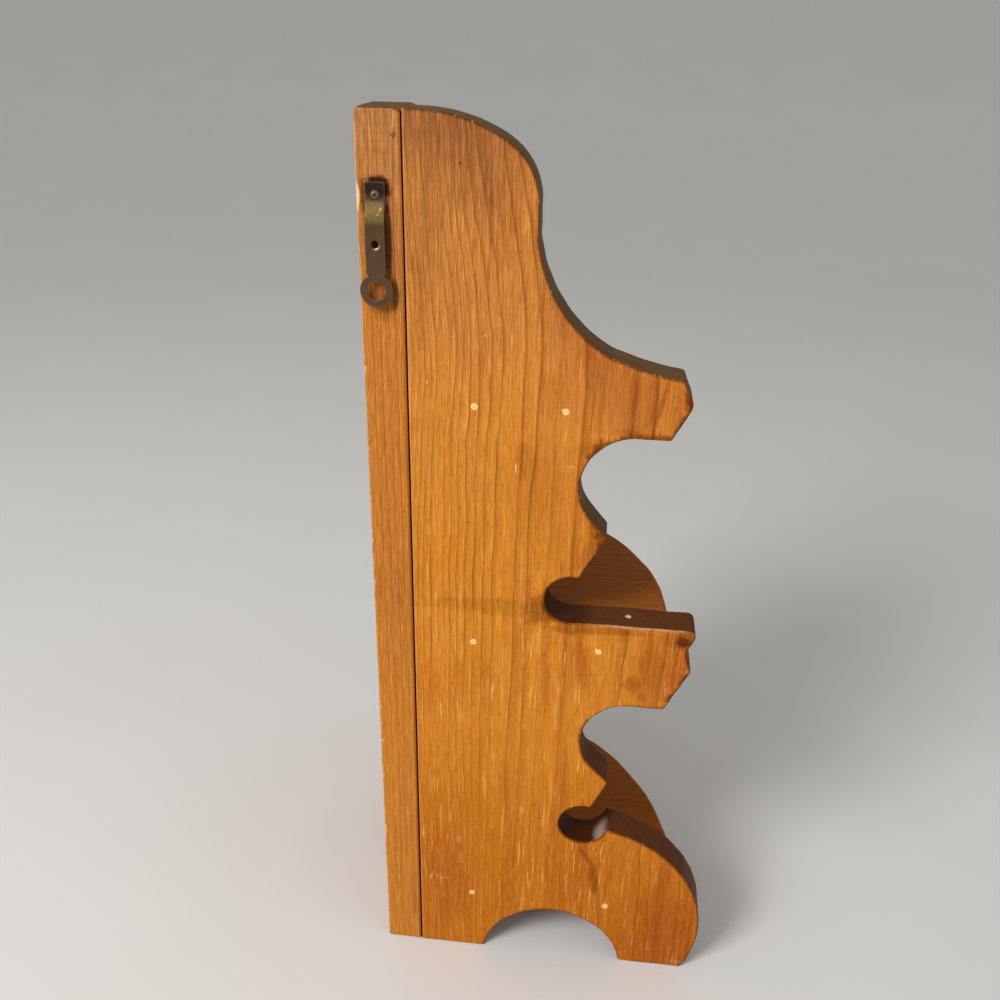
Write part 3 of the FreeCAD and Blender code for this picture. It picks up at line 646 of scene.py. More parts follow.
class Nodes:
    """Short calls that add nodes to one tree and join them."""

    def __init__(self, tree):
        self.tree = tree

    def add(self, kind, *values, **options):
        """A new node with values for its first sockets and some of its options set."""
        node = self.tree.nodes.new("ShaderNode" + kind)
        for name, value in options.items():
            setattr(node, name, value)
        for socket, value in zip(node.inputs, values):
            self.feed(socket, value)
        return node

    def feed(self, socket, value):
        """Join an output to a socket, or set the socket's own value."""
        if isinstance(value, bpy.types.NodeSocket):
            self.tree.links.new(value, socket)
        elif socket.type == "RGBA":
            socket.default_value = (*value[:3], 1)
        else:
            socket.default_value = value

    def math(self, operation, *values, clamp=False):
        """One operation on numbers."""
        return self.add("Math", *values, operation=operation, use_clamp=clamp).outputs[0]

    def plus(self, first, second, clamp=False):
        """Sum of two values."""
        return self.math("ADD", first, second, clamp=clamp)

    def minus(self, first, second):
        """Difference of two values."""
        return self.math("SUBTRACT", first, second)

    def times(self, first, second, clamp=False):
        """Product of two values."""
        return self.math("MULTIPLY", first, second, clamp=clamp)

    def scaled(self, value, gain, offset):
        """A value times a gain, plus an offset."""
        return self.math("MULTIPLY_ADD", value, gain, offset)

    def about_zero(self, noise, reach):
        """A noise stretched to swing by up to a reach to both sides of 0."""
        return self.scaled(noise, 2 * reach, -reach)

    def most(self, first, second):
        """The larger of two values."""
        return self.math("MAXIMUM", first, second)

    def vector(self, operation, *values):
        """One operation on vectors."""
        node = self.add("VectorMath", *values, operation=operation)
        return node.outputs["Value" if operation == "LENGTH" else "Vector"]

    def split(self, vector):
        """The three parts of a vector."""
        return tuple(self.add("SeparateXYZ", vector).outputs)

    def combine(self, *values):
        """A vector or grey colour of three values."""
        return self.add("CombineXYZ", *values).outputs[0]

    def noise(self, place, use):
        """Noise for one of the named uses, about 0.5 on average."""
        across, along, detail, rough = NOISES[use]
        node = self.add("TexNoise")
        self.feed(node.inputs["Vector"], self.vector("MULTIPLY", place, (across, across, along)))
        for label, value in (("Scale", 1.0), ("Detail", detail), ("Roughness", rough)):
            node.inputs[label].default_value = value
        return node.outputs[0]

    def smooth(self, value, low, high):
        """0 at low, 1 at high, with an S-curve between."""
        node = self.add("MapRange", interpolation_type="SMOOTHSTEP")
        for label, item in (("Value", value), ("From Min", low), ("From Max", high)):
            self.feed(node.inputs[label], item)
        return node.outputs[0]

    def mix(self, share, first, second, blend="MIX"):
        """Two colours blended by a share of the second."""
        node = self.add("Mix", data_type="RGBA", blend_type=blend)
        for socket, value in ((node.inputs[0], share), (node.inputs[6], first), (node.inputs[7], second)):
            self.feed(socket, value)
        return node.outputs[2]

    def tint(self, share, first, second):
        """A colour multiplied by a share of a tint."""
        return self.mix(share, first, second, "MULTIPLY")

    def shade(self, colour, tone):
        """A colour made darker or lighter by a grey tone."""
        return self.tint(1.0, colour, self.combine(tone, tone, tone))

    def ramp(self, value, stops):
        """A colour read from stops of place and colour."""
        node = self.add("ValToRGB", value)
        elements = node.color_ramp.elements
        while len(elements) < len(stops):
            elements.new(0.5)
        for element, (place, colour) in zip(elements, stops):
            element.position = place
            element.color = (*colour[:3], 1)
        return node.outputs[0]

    def attribute(self, name):
        """A value that the mesh carries at its points."""
        return self.add("Attribute", attribute_name=name).outputs["Fac"]

    def group(self, name, **values):
        """The outputs of a shared group whose inputs get the given values."""
        node = self.add("Group", node_tree=shared_group(name))
        for label, value in values.items():
            self.feed(node.inputs[label.replace("_", " ")], value)
        return node.outputs

    def spot(self, place, centre, half, uneven, slant=0.0, core=0.55):
        """Mask and rim of a soft blotch with the given half sizes."""
        return self.group("soft_spot", Place=place, Centre=tuple(centre), Half_size=half, Uneven=uneven,
                          Slant=slant, Core=core)

    def bump(self, height, distance):
        """Normal of a surface raised by a height of 0 to 1 times a distance."""
        node = self.add("Bump")
        node.inputs["Strength"].default_value = 1.0
        node.inputs["Distance"].default_value = distance
        self.feed(node.inputs["Height"], height)
        return node.outputs[0]


def new_group(name, vectors, values, outputs):
    """An empty node group with named sockets, and the calls to fill it.

    Its inputs are vectors, then numbers with their defaults, and its outputs are numbers.
    """
    tree = bpy.data.node_groups.new(name, "ShaderNodeTree")
    for label in vectors:
        tree.interface.new_socket(label, in_out="INPUT", socket_type="NodeSocketVector")
    for label, value in values.items():
        socket = tree.interface.new_socket(label, in_out="INPUT", socket_type="NodeSocketFloat")
        socket.default_value = value
    for label in outputs:
        tree.interface.new_socket(label, in_out="OUTPUT", socket_type="NodeSocketFloat")
    entry = tree.nodes.new("NodeGroupInput")
    leave = tree.nodes.new("NodeGroupOutput")
    return Nodes(tree), entry.outputs, leave.inputs


# Heights between which the figure leans at the crown and at the foot, and between which rings thin out
LEAN_UP = (340.0, 490.0)
LEAN_DOWN = (390.0, 150.0)
THIN_OUT = (320.0, 150.0)


def timber_group():
    """Figure of sawn wood on coordinates in millimetres: across, depth, along.

    A ring's radius is the distance to the tree's heart, which lies below the face; the heart's place
    swings along the board and leans in its upper part. The ring number grows as the square of that
    radius, so that rings get closer outwards, and its fraction darkens slowly to a sharp line.
    """
    values = {"Heart": 112.0, "Heart depth": 14.0, "Lean": 14.0, "Rings": 0.0021, "Sparse": 0.0,
              "Wobble": 1.0}
    outputs = ("Line", "Early", "Fibre", "Streak", "Pore", "Tone", "Band")
    kit, given, result = new_group("timber_figure", ("Place",), values, outputs)
    place = given["Place"]
    across, depth, along = kit.split(place)

    swing = kit.about_zero(kit.noise(place, "swing"), 7.5)
    quick = kit.about_zero(kit.noise(place, "quick"), 2.3)
    sway = kit.times(kit.plus(swing, quick), given["Wobble"])
    lean = kit.times(given["Lean"], kit.smooth(along, *LEAN_UP))
    lean = kit.times(lean, kit.scaled(across, 0.011, 0.35))
    lean = kit.scaled(given["Lean"], kit.times(kit.smooth(along, *LEAN_DOWN), 0.3), lean)
    shifted = kit.plus(across, kit.plus(sway, lean))
    reach = kit.minus(shifted, given["Heart"])
    sink = kit.plus(depth, given["Heart depth"])
    square = kit.plus(kit.times(reach, reach), kit.times(sink, sink))
    ring = kit.times(given["Rings"], square)
    part = kit.math("FRACT", ring)

    fall = kit.minus(1.0, kit.smooth(part, 0.9, 1.0))
    slow = kit.times(kit.math("POWER", part, 2.2), 0.22)
    dark = kit.scaled(kit.math("POWER", part, 9.0), 0.85, slow)
    dark = kit.times(dark, fall)
    chance = kit.add("TexWhiteNoise", noise_dimensions="1D")
    kit.feed(chance.inputs["W"], kit.math("FLOOR", ring))
    bar = kit.times(given["Sparse"], kit.smooth(along, *THIN_OUT))
    strong = kit.smooth(chance.outputs["Value"], bar, kit.plus(bar, 0.7))
    strong = kit.scaled(strong, 0.7, 0.3)
    strong = kit.times(strong, kit.scaled(bar, -0.6, 1.0))
    broken = kit.scaled(kit.noise(place, "broken"), 1.4, 0.3)
    line = kit.times(dark, kit.times(strong, broken))
    kit.feed(result["Line"], kit.times(line, 1.75, clamp=True))

    early = kit.times(kit.smooth(part, 0.26, 0.02), kit.smooth(part, 0.0, 0.02))
    shown = kit.smooth(kit.noise(place, "early"), 0.5, 0.68)
    kit.feed(result["Early"], kit.times(early, shown))
    fine = kit.times(kit.noise(place, "fine_fibre"), 0.65)
    broad = kit.times(kit.noise(place, "broad_fibre"), 0.35)
    kit.feed(result["Fibre"], kit.plus(fine, broad))
    kit.feed(result["Streak"], kit.smooth(kit.noise(place, "streak"), 0.54, 0.72))
    kit.feed(result["Band"], kit.smooth(kit.noise(place, "band"), 0.48, 0.66))
    kit.feed(result["Pore"], kit.smooth(kit.noise(place, "pore"), 0.56, 0.7))
    kit.feed(result["Tone"], kit.noise(place, "tone"))
    return kit.tree


def spot_group():
    """Blotch: 1 inside its half sizes and 0 outside, with an uneven edge, and a rim where it dried.

    The slant carries its upper part sideways.
    """
    values = {"Uneven": 0.0, "Slant": 0.0, "Core": 0.55}
    kit, given, result = new_group("soft_spot", ("Place", "Centre", "Half size"), values, ("Mask", "Rim"))
    across, depth, along = kit.split(kit.vector("SUBTRACT", given["Place"], given["Centre"]))
    across = kit.minus(across, kit.times(along, given["Slant"]))
    gap = kit.vector("DIVIDE", kit.combine(across, depth, along), given["Half size"])
    reach = kit.plus(kit.vector("LENGTH", gap), given["Uneven"])
    kit.feed(result["Mask"], kit.smooth(reach, 1.08, given["Core"]))
    rim = kit.times(kit.smooth(reach, 0.62, 0.88), kit.smooth(reach, 1.1, 0.95))
    kit.feed(result["Rim"], rim)
    return kit.tree


def wear_group():
    """Dark bleed and rubbed rim along the edges, from the distance to the outline in millimetres."""
    values = {"Edge": 10.0, "Bleed": 2.0}
    kit, given, result = new_group("edge_wear", ("Place",), values, ("Bleed", "Rubbed"))
    rough = kit.noise(given["Place"], "edge_rough")
    patch = kit.noise(given["Place"], "edge_patch")
    wide = kit.times(kit.smooth(rough, 0.28, 0.75), kit.smooth(patch, 0.3, 0.65))
    width = kit.scaled(wide, given["Bleed"], 0.9)
    dry, wet = kit.times(width, 1.3), kit.times(width, 0.15)
    kit.feed(result["Bleed"], kit.smooth(given["Edge"], dry, wet))
    rim = kit.smooth(given["Edge"], 0.8, 0.2)
    fleck = kit.smooth(kit.noise(given["Place"], "edge_fleck"), 0.63, 0.72)
    kit.feed(result["Rubbed"], kit.times(rim, fleck))
    return kit.tree


def metal_group():
    """Uneven tarnish, fine scratches and small pits of old metal, on coordinates in millimetres."""
    kit, given, result = new_group("old_metal", ("Place",), {}, ("Tarnish", "Scratch", "Pit"))
    kit.feed(result["Tarnish"], kit.smooth(kit.noise(given["Place"], "tarnish"), 0.35, 0.7))
    kit.feed(result["Scratch"], kit.noise(given["Place"], "scratch"))
    kit.feed(result["Pit"], kit.smooth(kit.noise(given["Place"], "pit"), 0.66, 0.74))
    return kit.tree


# Groups that several materials use
GROUP_MAKERS = {
    "timber_figure": timber_group,
    "soft_spot": spot_group,
    "edge_wear": wear_group,
    "old_metal": metal_group,
}


def shared_group(name):
    """A node group that several materials use, built the first time it is asked for."""
    return bpy.data.node_groups.get(name) or GROUP_MAKERS[name]()


def new_material(name, **constants):
    """A material with its shader, the shader's constant sockets set, and the calls to fill it."""
    material = bpy.data.materials.new(name)
    material.use_nodes = True
    shader = material.node_tree.nodes["Principled BSDF"]
    for label, value in constants.items():
        shader.inputs[label.replace("_", " ")].default_value = value
    return material, Nodes(material.node_tree), shader.inputs


def corner_place(kit, axes=(0, 1, 2)):
    """Millimetres from the shelf's outer corner, along the frame's axes in the given order.

    An order that turns a right hand into a left one is a turn of coordinates mirrored in the first axis.
    """
    order = AXES[list(axes)]
    mirror = np.array([np.linalg.det(order), 1, 1])
    node = kit.add("Mapping")
    kit.feed(node.inputs["Vector"], kit.add("TexCoord").outputs["Object"])
    node.inputs["Location"].default_value = tuple(-order @ CORNER / MM)
    node.inputs["Rotation"].default_value = Matrix((order * mirror).tolist()).to_euler()
    node.inputs["Scale"].default_value = tuple(mirror / MM)
    return node.outputs[0]


# Marks on the right side board's wall face: across and up from the outer corner, half width and half
# height, all in millimetres, strength, and slant where it has one
BROWN_MARKS = {
    "tip_speckle": (106, 270, 5, 12, 0.45, 0.5),
    "keyhole_band": (62, 233, 36, 5, 0.3),
    "keyhole_side": (82, 232, 8, 9, 0.75),
    "under_keyhole": (97, 223.4, 12, 3.2, 0.6),
    "ledge_run": (111, 223.8, 22, 2.4, 0.5),
    "lip": (148.5, 221, 8, 5, 0.5),
    "lobe_blotch": (129.0, 194, 4.6, 5.4, 0.5),
    "lobe_blotch_low": (133.2, 187, 2.0, 3.2, 0.5),
    "keyhole_run": (112.2, 76.5, 2.2, 8, 0.6, -0.58),
    "keyhole_run_end": (116.4, 61, 2.8, 10.5, 0.7, -0.08),
    "grain_patch": (72, 311, 5, 9, 0.3),
    "lobe_line": (118.8, 342, 1.3, 17, 0.5, 0.04),
    "lobe_line_front": (130.2, 340, 1.2, 15, 0.5, 0.2),
    "lobe_line_rear": (101.3, 340, 0.8, 14, 0.4, 0.08),
}
# Zones where the edge stain runs further onto the face: half sizes and the reach of the run
RUN_ZONES = {
    "first_nose": (142, 338, 9, 16, 11.0),
    "first_chin": (124, 323, 20, 7, 13.0),
    "cove": (106, 319, 14, 12, 12.0),
    "tip": (110, 274, 12, 14, 13.0),
    "keyhole": (88, 236, 14, 16, 4.0),
    "lip": (154, 220, 8, 9, 4.0),
    "second_chamfer": (152, 194, 9, 12, 6.5),
    "second_chin": (136, 183, 14, 4, 3.0),
    "lower_cove": (104, 165, 8, 16, 3.0),
    "arch": (96, 34, 34, 6, 3.0),
}
# Edges that the saw scorched
BURN_ZONES = {
    "nose": (142.8, 341, 2.6, 6, 0.85, -0.15),
    "chamfer": (139.8, 332.5, 2.6, 5.5, 0.85, 0.55),
    "chin": (118, 327, 7, 2.2, 0.7),
    "cove": (101.5, 318, 6, 6, 0.45),
}
DARK_MARKS = {
    "lip_spot": (150.3, 220.6, 3.4, 3.2, 0.75),
    "second_chin": (147.6, 187.5, 2.8, 2.8, 0.6, 0.5),
    # pin_hole is painted shade: a dark dot for a small hole that has no shape of its own
    "pin_hole": (42.8, 437.3, 0.5, 0.8, 0.75),
}
RED_MARKS = {
    "run_below_keyhole": (102.6, 204, 6.5, 30, 1.0, -0.13),
    "run_beside_keyhole": (85.6, 192, 2.4, 40, 0.75),
    "lobe_band": (133, 206, 4.2, 22, 1.0),
    "lobe_band_front": (140.6, 211, 3.0, 18, 0.95, -0.25),
    "second_lobe": (148, 203, 32, 38, 0.95),
    "sweep": (100, 366, 22, 30, 0.8, -0.3),
    "neck_side": (88, 390, 14, 44, 0.7),
    "lobe": (130, 344, 36, 26, 0.62),
    "neck": (87, 345, 13, 22, 0.5),
    "beside_cove": (82, 296, 24, 40, 0.4),
    "crown_side": (62, 416, 18, 32, 0.5),
    "crown": (56, 450, 52, 30, 0.3),
    "foot": (160, 18, 52, 66, 0.75),
    "lower_rear": (34, 58, 22, 52, 0.5),
}
PALE_MARKS = {
    "scuff": (33, 50.6, 6.0, 0.8, 0.45),
    "scuff_rise": (26.0, 51.5, 1.1, 5.2, 0.6, 0.36),
    "scuff_fall": (28.6, 53.0, 0.9, 3.4, 0.5, -0.5),
    "scuff_high": (41.7, 81.5, 2.2, 4.5, 0.4),
    "scuff_faint": (36.4, 96, 1.0, 6.5, 0.3),
    "scuff_low": (42.8, 68, 1.3, 6.5, 0.25),
    "speck": (53.4, 367.8, 0.7, 1.1, 0.9),
    "speck_rear": (28, 345.3, 0.6, 1.3, 0.9),
    "short_streak": (68, 307, 0.8, 3.2, 0.75),
    "dots": (92.5, 309, 2.6, 0.9, 0.35),
    "foot_chip": (166.6, 4.0, 4.5, 1.3, 0.25),
    "lobe_streak": (144.6, 192.5, 0.5, 6.5, 0.6, -0.1),
    "lobe_streak_edge": (153.5, 203, 0.5, 3.5, 0.5, 0.3),
    "foot_streak": (141.2, 17, 0.7, 7, 0.4),
    "foot_streak_front": (149.9, 14.5, 0.6, 5, 0.35),
    "foot_streak_high": (150.5, 68, 0.7, 6, 0.35),
}
# Zones where pale streaks crowd the face
STREAK_ZONES = {
    "below_keyhole": (88.5, 95, 6.0, 115, 0.9, -0.065),
    "second_lobe": (96, 198, 9, 26, 0.9),
    "second_lobe_front": (121, 208, 10, 16, 0.8),
    "rear": (33, 110, 12, 80, 0.8),
}
# Ledge whose lower arris is rubbed pale
LEDGE_RUB = {"ledge": (131, 226, 29, 5, 0.42)}
# Keyholes whose sawn walls are darkened as painted shade: across, up and half size
SHADED_KEYHOLES = {"upper": (96.0, 239.0, 16.0), "lower": (108.6, 99.6, 17.0)}
# Painted shade on the rear edge of the left side board: shadow beside the strap and ring, and shade under
# them and in the hanger's seat. Along X and up from the outer corner
HANGER_SHADE_MARKS = {
    "seat": (9.2, 426.4, 5.8, 5.6, 0.95),
    "spare_hole": (6.9, 403.8, 2.4, 2.4, 0.95),
    "beside_strap": (12.7, 407, 1.6, 19, 0.75),
    "beside_ring": (14.7, 383, 2.0, 8, 0.6, -0.1),
    "behind_strap": (9.0, 404, 4.6, 24, 0.35),
    "behind_ring": (9.6, 380, 6.6, 9, 0.35),
    "left_of_seat": (2.9, 423, 0.7, 7, 0.6),
}
WORN_MARKS = {"worn_corner": (0.2, 423, 1.4, 7, 0.9), "worn_low": (0.2, 82, 1.0, 6, 0.6)}
# Specks on the right board's sawn edges: across, into the board and up, half size, strength
EDGE_SPECKS = {
    "crown_speck": (127, 8, 356, 1.2, 0.9),
    "ledge_speck": (124, 9.5, 226, 2.0, 1.0),
    "ledge_speck_rear": (117.5, 10.5, 226, 1.0, 0.9),
    "ledge_speck_front": (134, 7, 226, 0.6, 0.6),
    "ledge_speck_end": (150.5, 12, 226, 0.7, 0.7),
}
# Painted highlight: pale grey patch on the wall of the lower keyhole
KEYHOLE_HIGHLIGHT = ((118.6, 4.0, 92.4), (5.5, 11.0, 9.0))

# Attributes of the right board's points: their zones, and the share of a zone that is its even core
FACE_ZONES = {
    "reddened": (RED_MARKS, 0.0),
    "stain_run": (RUN_ZONES, 0.2),
    "burnt": (BURN_ZONES, 0.2),
    "crowded": (STREAK_ZONES, 0.2),
    "rubbed": (LEDGE_RUB, 0.4),
}
# Distance from a zone's middle at which it ends, in half sizes
ZONE_END = 1.08
# Order of the frame's axes as across, into the board and along
BOARD_AXES = {"left": (1, 0, 2), "right": (0, 1, 2)}
# Place of the tree's heart, lean, wobble and missing rings in each side board
FIGURES = {
    "left": {"Heart": 100.0, "Heart_depth": 60.0, "Lean": 2.0, "Wobble": 0.15},
    "right": {"Heart": 112.0, "Sparse": 0.12},
}
RING_SHARE = {"left": 0.5, "right": 0.7}
# Colours up the varnished face and up the rear edge, at shares of the height
AMBER_STOPS = {0.0: "amber_lower", 0.18: "amber_lower", 0.36: "amber_middle", 0.58: "amber_middle",
               0.76: "amber_shoulder", 0.89: "amber_high", 1.0: "amber_upper"}
STRIP_STOPS = {0.0: "strip_lower", 0.3: "strip_lower", 0.5: "strip_middle", 0.8: "strip_middle",
               0.95: "strip_upper"}
# Run of the edge stain where no zone lengthens it, and where a wall face starts, in millimetres
LEAST_RUN = 0.6
FACE_START = {"left": 0.0, "right": 19.0}
# Bands of a side board: their direction, and in millimetres where they begin and where they are full
BANDS = {
    "lowest": ("along", 230.0, 150.0),
    "low": ("along", 330.0, 190.0),
    "below_crown": ("along", 420.0, 360.0),
    "coarse_fibre": ("along", 320.0, 420.0),
    "high": ("along", 380.0, 430.0),
    "olive_stain": ("along", 240.0, 285.0),
    "front": ("across", 66.0, 112.0),
    "near_joint": ("across", 50.0, 24.0),
    "beside_seam": ("across", 20.9, 20.0),
    "in_seam": ("across", 20.1, 19.9),
    "over_joint": ("across", 19.6, 18.6),
    "rear_edge": ("across", 1.4, 0.4),
    "rear_arris": ("across", 1.4, 0.2),
    "rear_face": ("across", 2.0, 0.2),
    "wall_arris": ("depth", 1.1, 0.2),
    "room_side": ("depth", 17.2, 18.6),
    "joint_face": ("depth", 18.84, 18.97),
}
# Small blotches are smoother: raggedness of the smallest, and half size that adds full raggedness
LEAST_RAGGED = 0.35
FULLY_RAGGED = 6
# Middle of a side board's thickness, and a half size that goes through it, in millimetres
MID_BOARD = 9.5
THROUGH_BOARD = 60.0
# Height of the raised grain, and the faint sheen of the wood
BOARD_RELIEF = 0.08 * MM
WOOD_SHEEN = {"IOR": 1.5, "Specular_IOR_Level": 0.08}


def zone_share(across, up, zones, core):
    """Strongest of several soft zones at each point: an S-curve of its distance to the zone's middle.

    The distance is measured in half sizes, and the slant carries a zone's upper part sideways.
    """
    shares = []
    for x, z, half, half_up, strength, *slant in zones.values():
        reach = np.hypot((across - x - sum(slant) * (up - z)) / half, (up - z) / half_up)
        shares.append(strength * smoothstep(-reach, -ZONE_END, -core))
    return np.max(shares, axis=0)


class BoardPaint:
    """Colours of a side board on coordinates in millimetres: across, into the board and along."""

    def __init__(self, kit, side, wood):
        self.kit, self.side, self.wood = kit, side, wood
        self.place = corner_place(kit, BOARD_AXES[side])
        self.timber = kit.group("timber_figure", Place=self.place, **FIGURES[side])
        self.across, self.depth, self.along = kit.split(self.place)
        self.coarse = kit.noise(self.place, "coarse")
        self.grainy = kit.noise(self.place, "grainy")
        self.uneven = kit.plus(kit.about_zero(self.coarse, 1.0), kit.about_zero(self.grainy, 0.6))
        self.lowest = self.band("lowest")
        gain = kit.scaled(self.band("coarse_fibre"), 0.9, 1.5)
        gain = kit.scaled(self.lowest, -0.6, gain)
        self.fibre = kit.scaled(kit.minus(self.timber["Fibre"], 0.5), gain, 0.97)

    def band(self, name):
        """Share of a band: 0 where it begins and 1 where it is full."""
        direction, begin, full = BANDS[name]
        return self.kit.smooth(getattr(self, direction), begin, full)

    def ramp(self, height, stops):
        """Colour of the wood at a share of the board's height."""
        return self.kit.ramp(height, [(place, getattr(self.wood, name)) for place, name in stops.items()])

    def marks(self, marks, uneven, rim=0.0, core=0.55, depth_half=8.0):
        """Strongest of several blotches at each point, with a share of their rims added.

        The right board's blotches lie on its wall face and the left board's on its rear edge.
        """
        kit = self.kit
        mask = 0.0
        for across, up, half, half_up, strength, *slant in marks.values():
            centre, size = (across, 0.0, up), (half, depth_half, half_up)
            if self.side == "left":
                centre, size = (0.0, across, up), (depth_half, half, half_up)
            ragged = kit.times(uneven, min(1.0, LEAST_RAGGED + min(half, half_up) / FULLY_RAGGED))
            spot = kit.spot(self.place, centre, size, ragged, sum(slant), core)
            share = kit.times(spot["Mask"], strength)
            if rim:
                share = kit.scaled(spot["Rim"], strength * rim, share)
            mask = kit.most(mask, share)
        return mask

    def pale_share(self):
        """Share of pale streaks: crowded low down, near the joint and in zones of their own."""
        kit, timber = self.kit, self.timber
        low = self.band("low")
        near_joint = kit.times(self.band("near_joint"), self.band("below_crown"))
        where = kit.smooth(kit.noise(self.place, "crowd"), 0.45, 0.62)
        crowd = kit.times(where, kit.most(low, kit.times(near_joint, 0.7)))
        if self.side == "right":
            crowd = kit.most(crowd, kit.attribute("crowded"))
        else:
            crowd = kit.times(crowd, 0.4)
        streak = kit.times(timber["Streak"], crowd)
        return kit.most(streak, kit.times(timber["Early"], kit.scaled(low, 0.35, 0.2)))

    def varnished(self):
        """Amber wood under varnish, with reddish bands, fibres, painted glints on the fibres, ring lines,
        pale streaks and pores.
        """
        kit, wood, timber = self.kit, self.wood, self.timber
        height = kit.about_zero(timber["Tone"], 0.17)
        height = kit.plus(kit.math("DIVIDE", self.along, PANEL_HEIGHT / MM), height)
        amber = self.ramp(height, AMBER_STOPS)
        if self.side == "left":
            amber = kit.mix(self.band("rear_edge"), amber, self.ramp(height, STRIP_STOPS))
        front = kit.scaled(self.band("front"), 0.5, 0.22)
        amber = kit.tint(kit.times(timber["Band"], front), amber, wood.stain_red)
        ruddy = kit.times(kit.smooth(timber["Tone"], 0.5, 0.72), 0.45)
        amber = kit.tint(ruddy, amber, wood.stain_red)
        amber = kit.shade(amber, self.fibre)
        # Painted glints: pale flecks on the fibres
        glint = kit.times(kit.smooth(timber["Fibre"], 0.46, 0.66), 0.22)
        amber = kit.mix(glint, amber, wood.pale_streak_and_glint)
        ringed = kit.scaled(self.lowest, -0.25, RING_SHARE[self.side])
        amber = kit.mix(kit.times(timber["Line"], ringed), amber, wood.ring_line)
        amber = kit.mix(kit.times(self.pale_share(), 0.74), amber, wood.pale_streak_and_glint)
        return kit.mix(kit.times(timber["Pore"], 0.42), amber, wood.ring_line)

    def face_marks(self, amber):
        """Stains, scorched edges and scratches of the right board's wall face, and the painted shade of a
        pin hole.
        """
        kit, wood = self.kit, self.wood
        red = kit.times(kit.attribute("reddened"), kit.scaled(self.coarse, 1.2, 0.4), clamp=True)
        amber = kit.tint(red, amber, wood.stain_red)
        burnt = kit.times(kit.attribute("burnt"), kit.scaled(self.grainy, 1.6, 0.1), clamp=True)
        amber = kit.tint(burnt, amber, wood.stain_brown)
        brown = self.marks(BROWN_MARKS, self.uneven, rim=0.35, core=0.5)
        amber = kit.tint(brown, amber, wood.stain_brown)
        dark = self.marks(DARK_MARKS, self.uneven, rim=0.3, core=0.45)
        amber = kit.tint(dark, amber, wood.dark_stain_and_shade)
        pale = self.marks(PALE_MARKS, self.uneven, core=0.2)
        return kit.mix(kit.times(pale, kit.smooth(self.grainy, 0.36, 0.6)), amber, wood.scuff)

    def strip_marks(self, amber):
        """Worn corners of the left board's rear edge, and faint saw lines across it near the crown."""
        kit, wood = self.kit, self.wood
        amber = kit.mix(self.marks(WORN_MARKS, self.uneven, depth_half=1.6), amber, wood.scuff)
        arris = kit.times(self.band("wall_arris"), self.band("rear_arris"))
        arris = kit.times(arris, kit.smooth(self.coarse, 0.3, 0.7))
        amber = kit.mix(kit.times(arris, 0.5), amber, wood.scuff)
        sawn = kit.smooth(kit.noise(self.place, "sawn"), 0.48, 0.62)
        high = kit.times(self.band("rear_face"), self.band("high"))
        return kit.mix(kit.times(kit.times(sawn, high), 0.2), amber, wood.ring_line)

    def worn_edges(self, amber):
        """Stain that ran over the edges onto the varnish, and arrises that are rubbed pale."""
        kit, wood = self.kit, self.wood
        run = LEAST_RUN
        if self.side == "right":
            run = kit.plus(kit.attribute("stain_run"), run)
        wear = kit.group("edge_wear", Place=self.place, Edge=kit.attribute("edge_mm"), Bleed=run)
        start = FACE_START[self.side]
        bleed = kit.times(wear["Bleed"], kit.smooth(self.across, start + 0.8, start + 3.0))
        amber = kit.tint(bleed, amber, wood.stain_brown)
        amber = kit.mix(kit.times(wear["Rubbed"], 0.5), amber, wood.scuff)
        if self.side == "left":
            return amber
        rubbed = kit.times(kit.attribute("rubbed"), kit.smooth(kit.attribute("edge_mm"), 1.4, 0.3))
        seam = kit.times(self.band("beside_seam"), 0.18)
        rubbed = kit.times(kit.most(rubbed, seam), kit.smooth(self.coarse, 0.2, 0.6))
        return kit.mix(rubbed, amber, wood.scuff)

    def stained_edge(self):
        """Dark stain of the sawn edges and the room side, with painted shade in the keyholes and a
        painted highlight in the lower one.
        """
        kit, wood = self.kit, self.wood
        edge = kit.mix(self.band("olive_stain"), wood.edge_brown, wood.edge_olive)
        edge = kit.mix(self.band("room_side"), edge, wood.room_brown)
        edge = kit.mix(kit.times(self.timber["Line"], 0.5), edge, wood.room_line)
        edge = kit.shade(edge, self.fibre)
        if self.side == "left":
            return edge
        # Painted shade on the walls of the keyholes
        for x, z, half in SHADED_KEYHOLES.values():
            through = (half, THROUGH_BOARD, half)
            shade_in_keyhole = kit.spot(self.place, (x, MID_BOARD, z), through, 0.0, core=0.75)["Mask"]
            edge = kit.tint(shade_in_keyhole, edge, wood.keyhole_shade)
        for x, y, z, half, strength in EDGE_SPECKS.values():
            speck = kit.spot(self.place, (x, y, z), (half,) * 3, kit.times(self.uneven, 0.4))["Mask"]
            edge = kit.mix(kit.times(speck, strength), edge, wood.scuff)
        # Painted highlight on the lower keyhole's wall
        centre, half = KEYHOLE_HIGHLIGHT
        patch = kit.spot(self.place, centre, half, kit.times(self.uneven, 0.25), core=0.2)["Mask"]
        return kit.mix(kit.times(patch, 0.8), edge, wood.keyhole_highlight)

    def joint(self, base, stained):
        """Red stain inside the corner joint and, on the left board, painted shade and shadow round the
        hanger.
        """
        kit, wood = self.kit, self.wood
        if self.side == "right":
            inside = kit.times(stained, self.band("in_seam"))
        else:
            # Painted shade and shadow round the hanger, darkened into the wood's colour
            hanger_shade = self.marks(HANGER_SHADE_MARKS, kit.times(self.uneven, 0.45), core=0.7)
            base = kit.tint(hanger_shade, base, wood.dark_stain_and_shade)
            inside = kit.times(self.band("joint_face"), self.band("over_joint"))
        return kit.mix(inside, base, wood.joint_red)


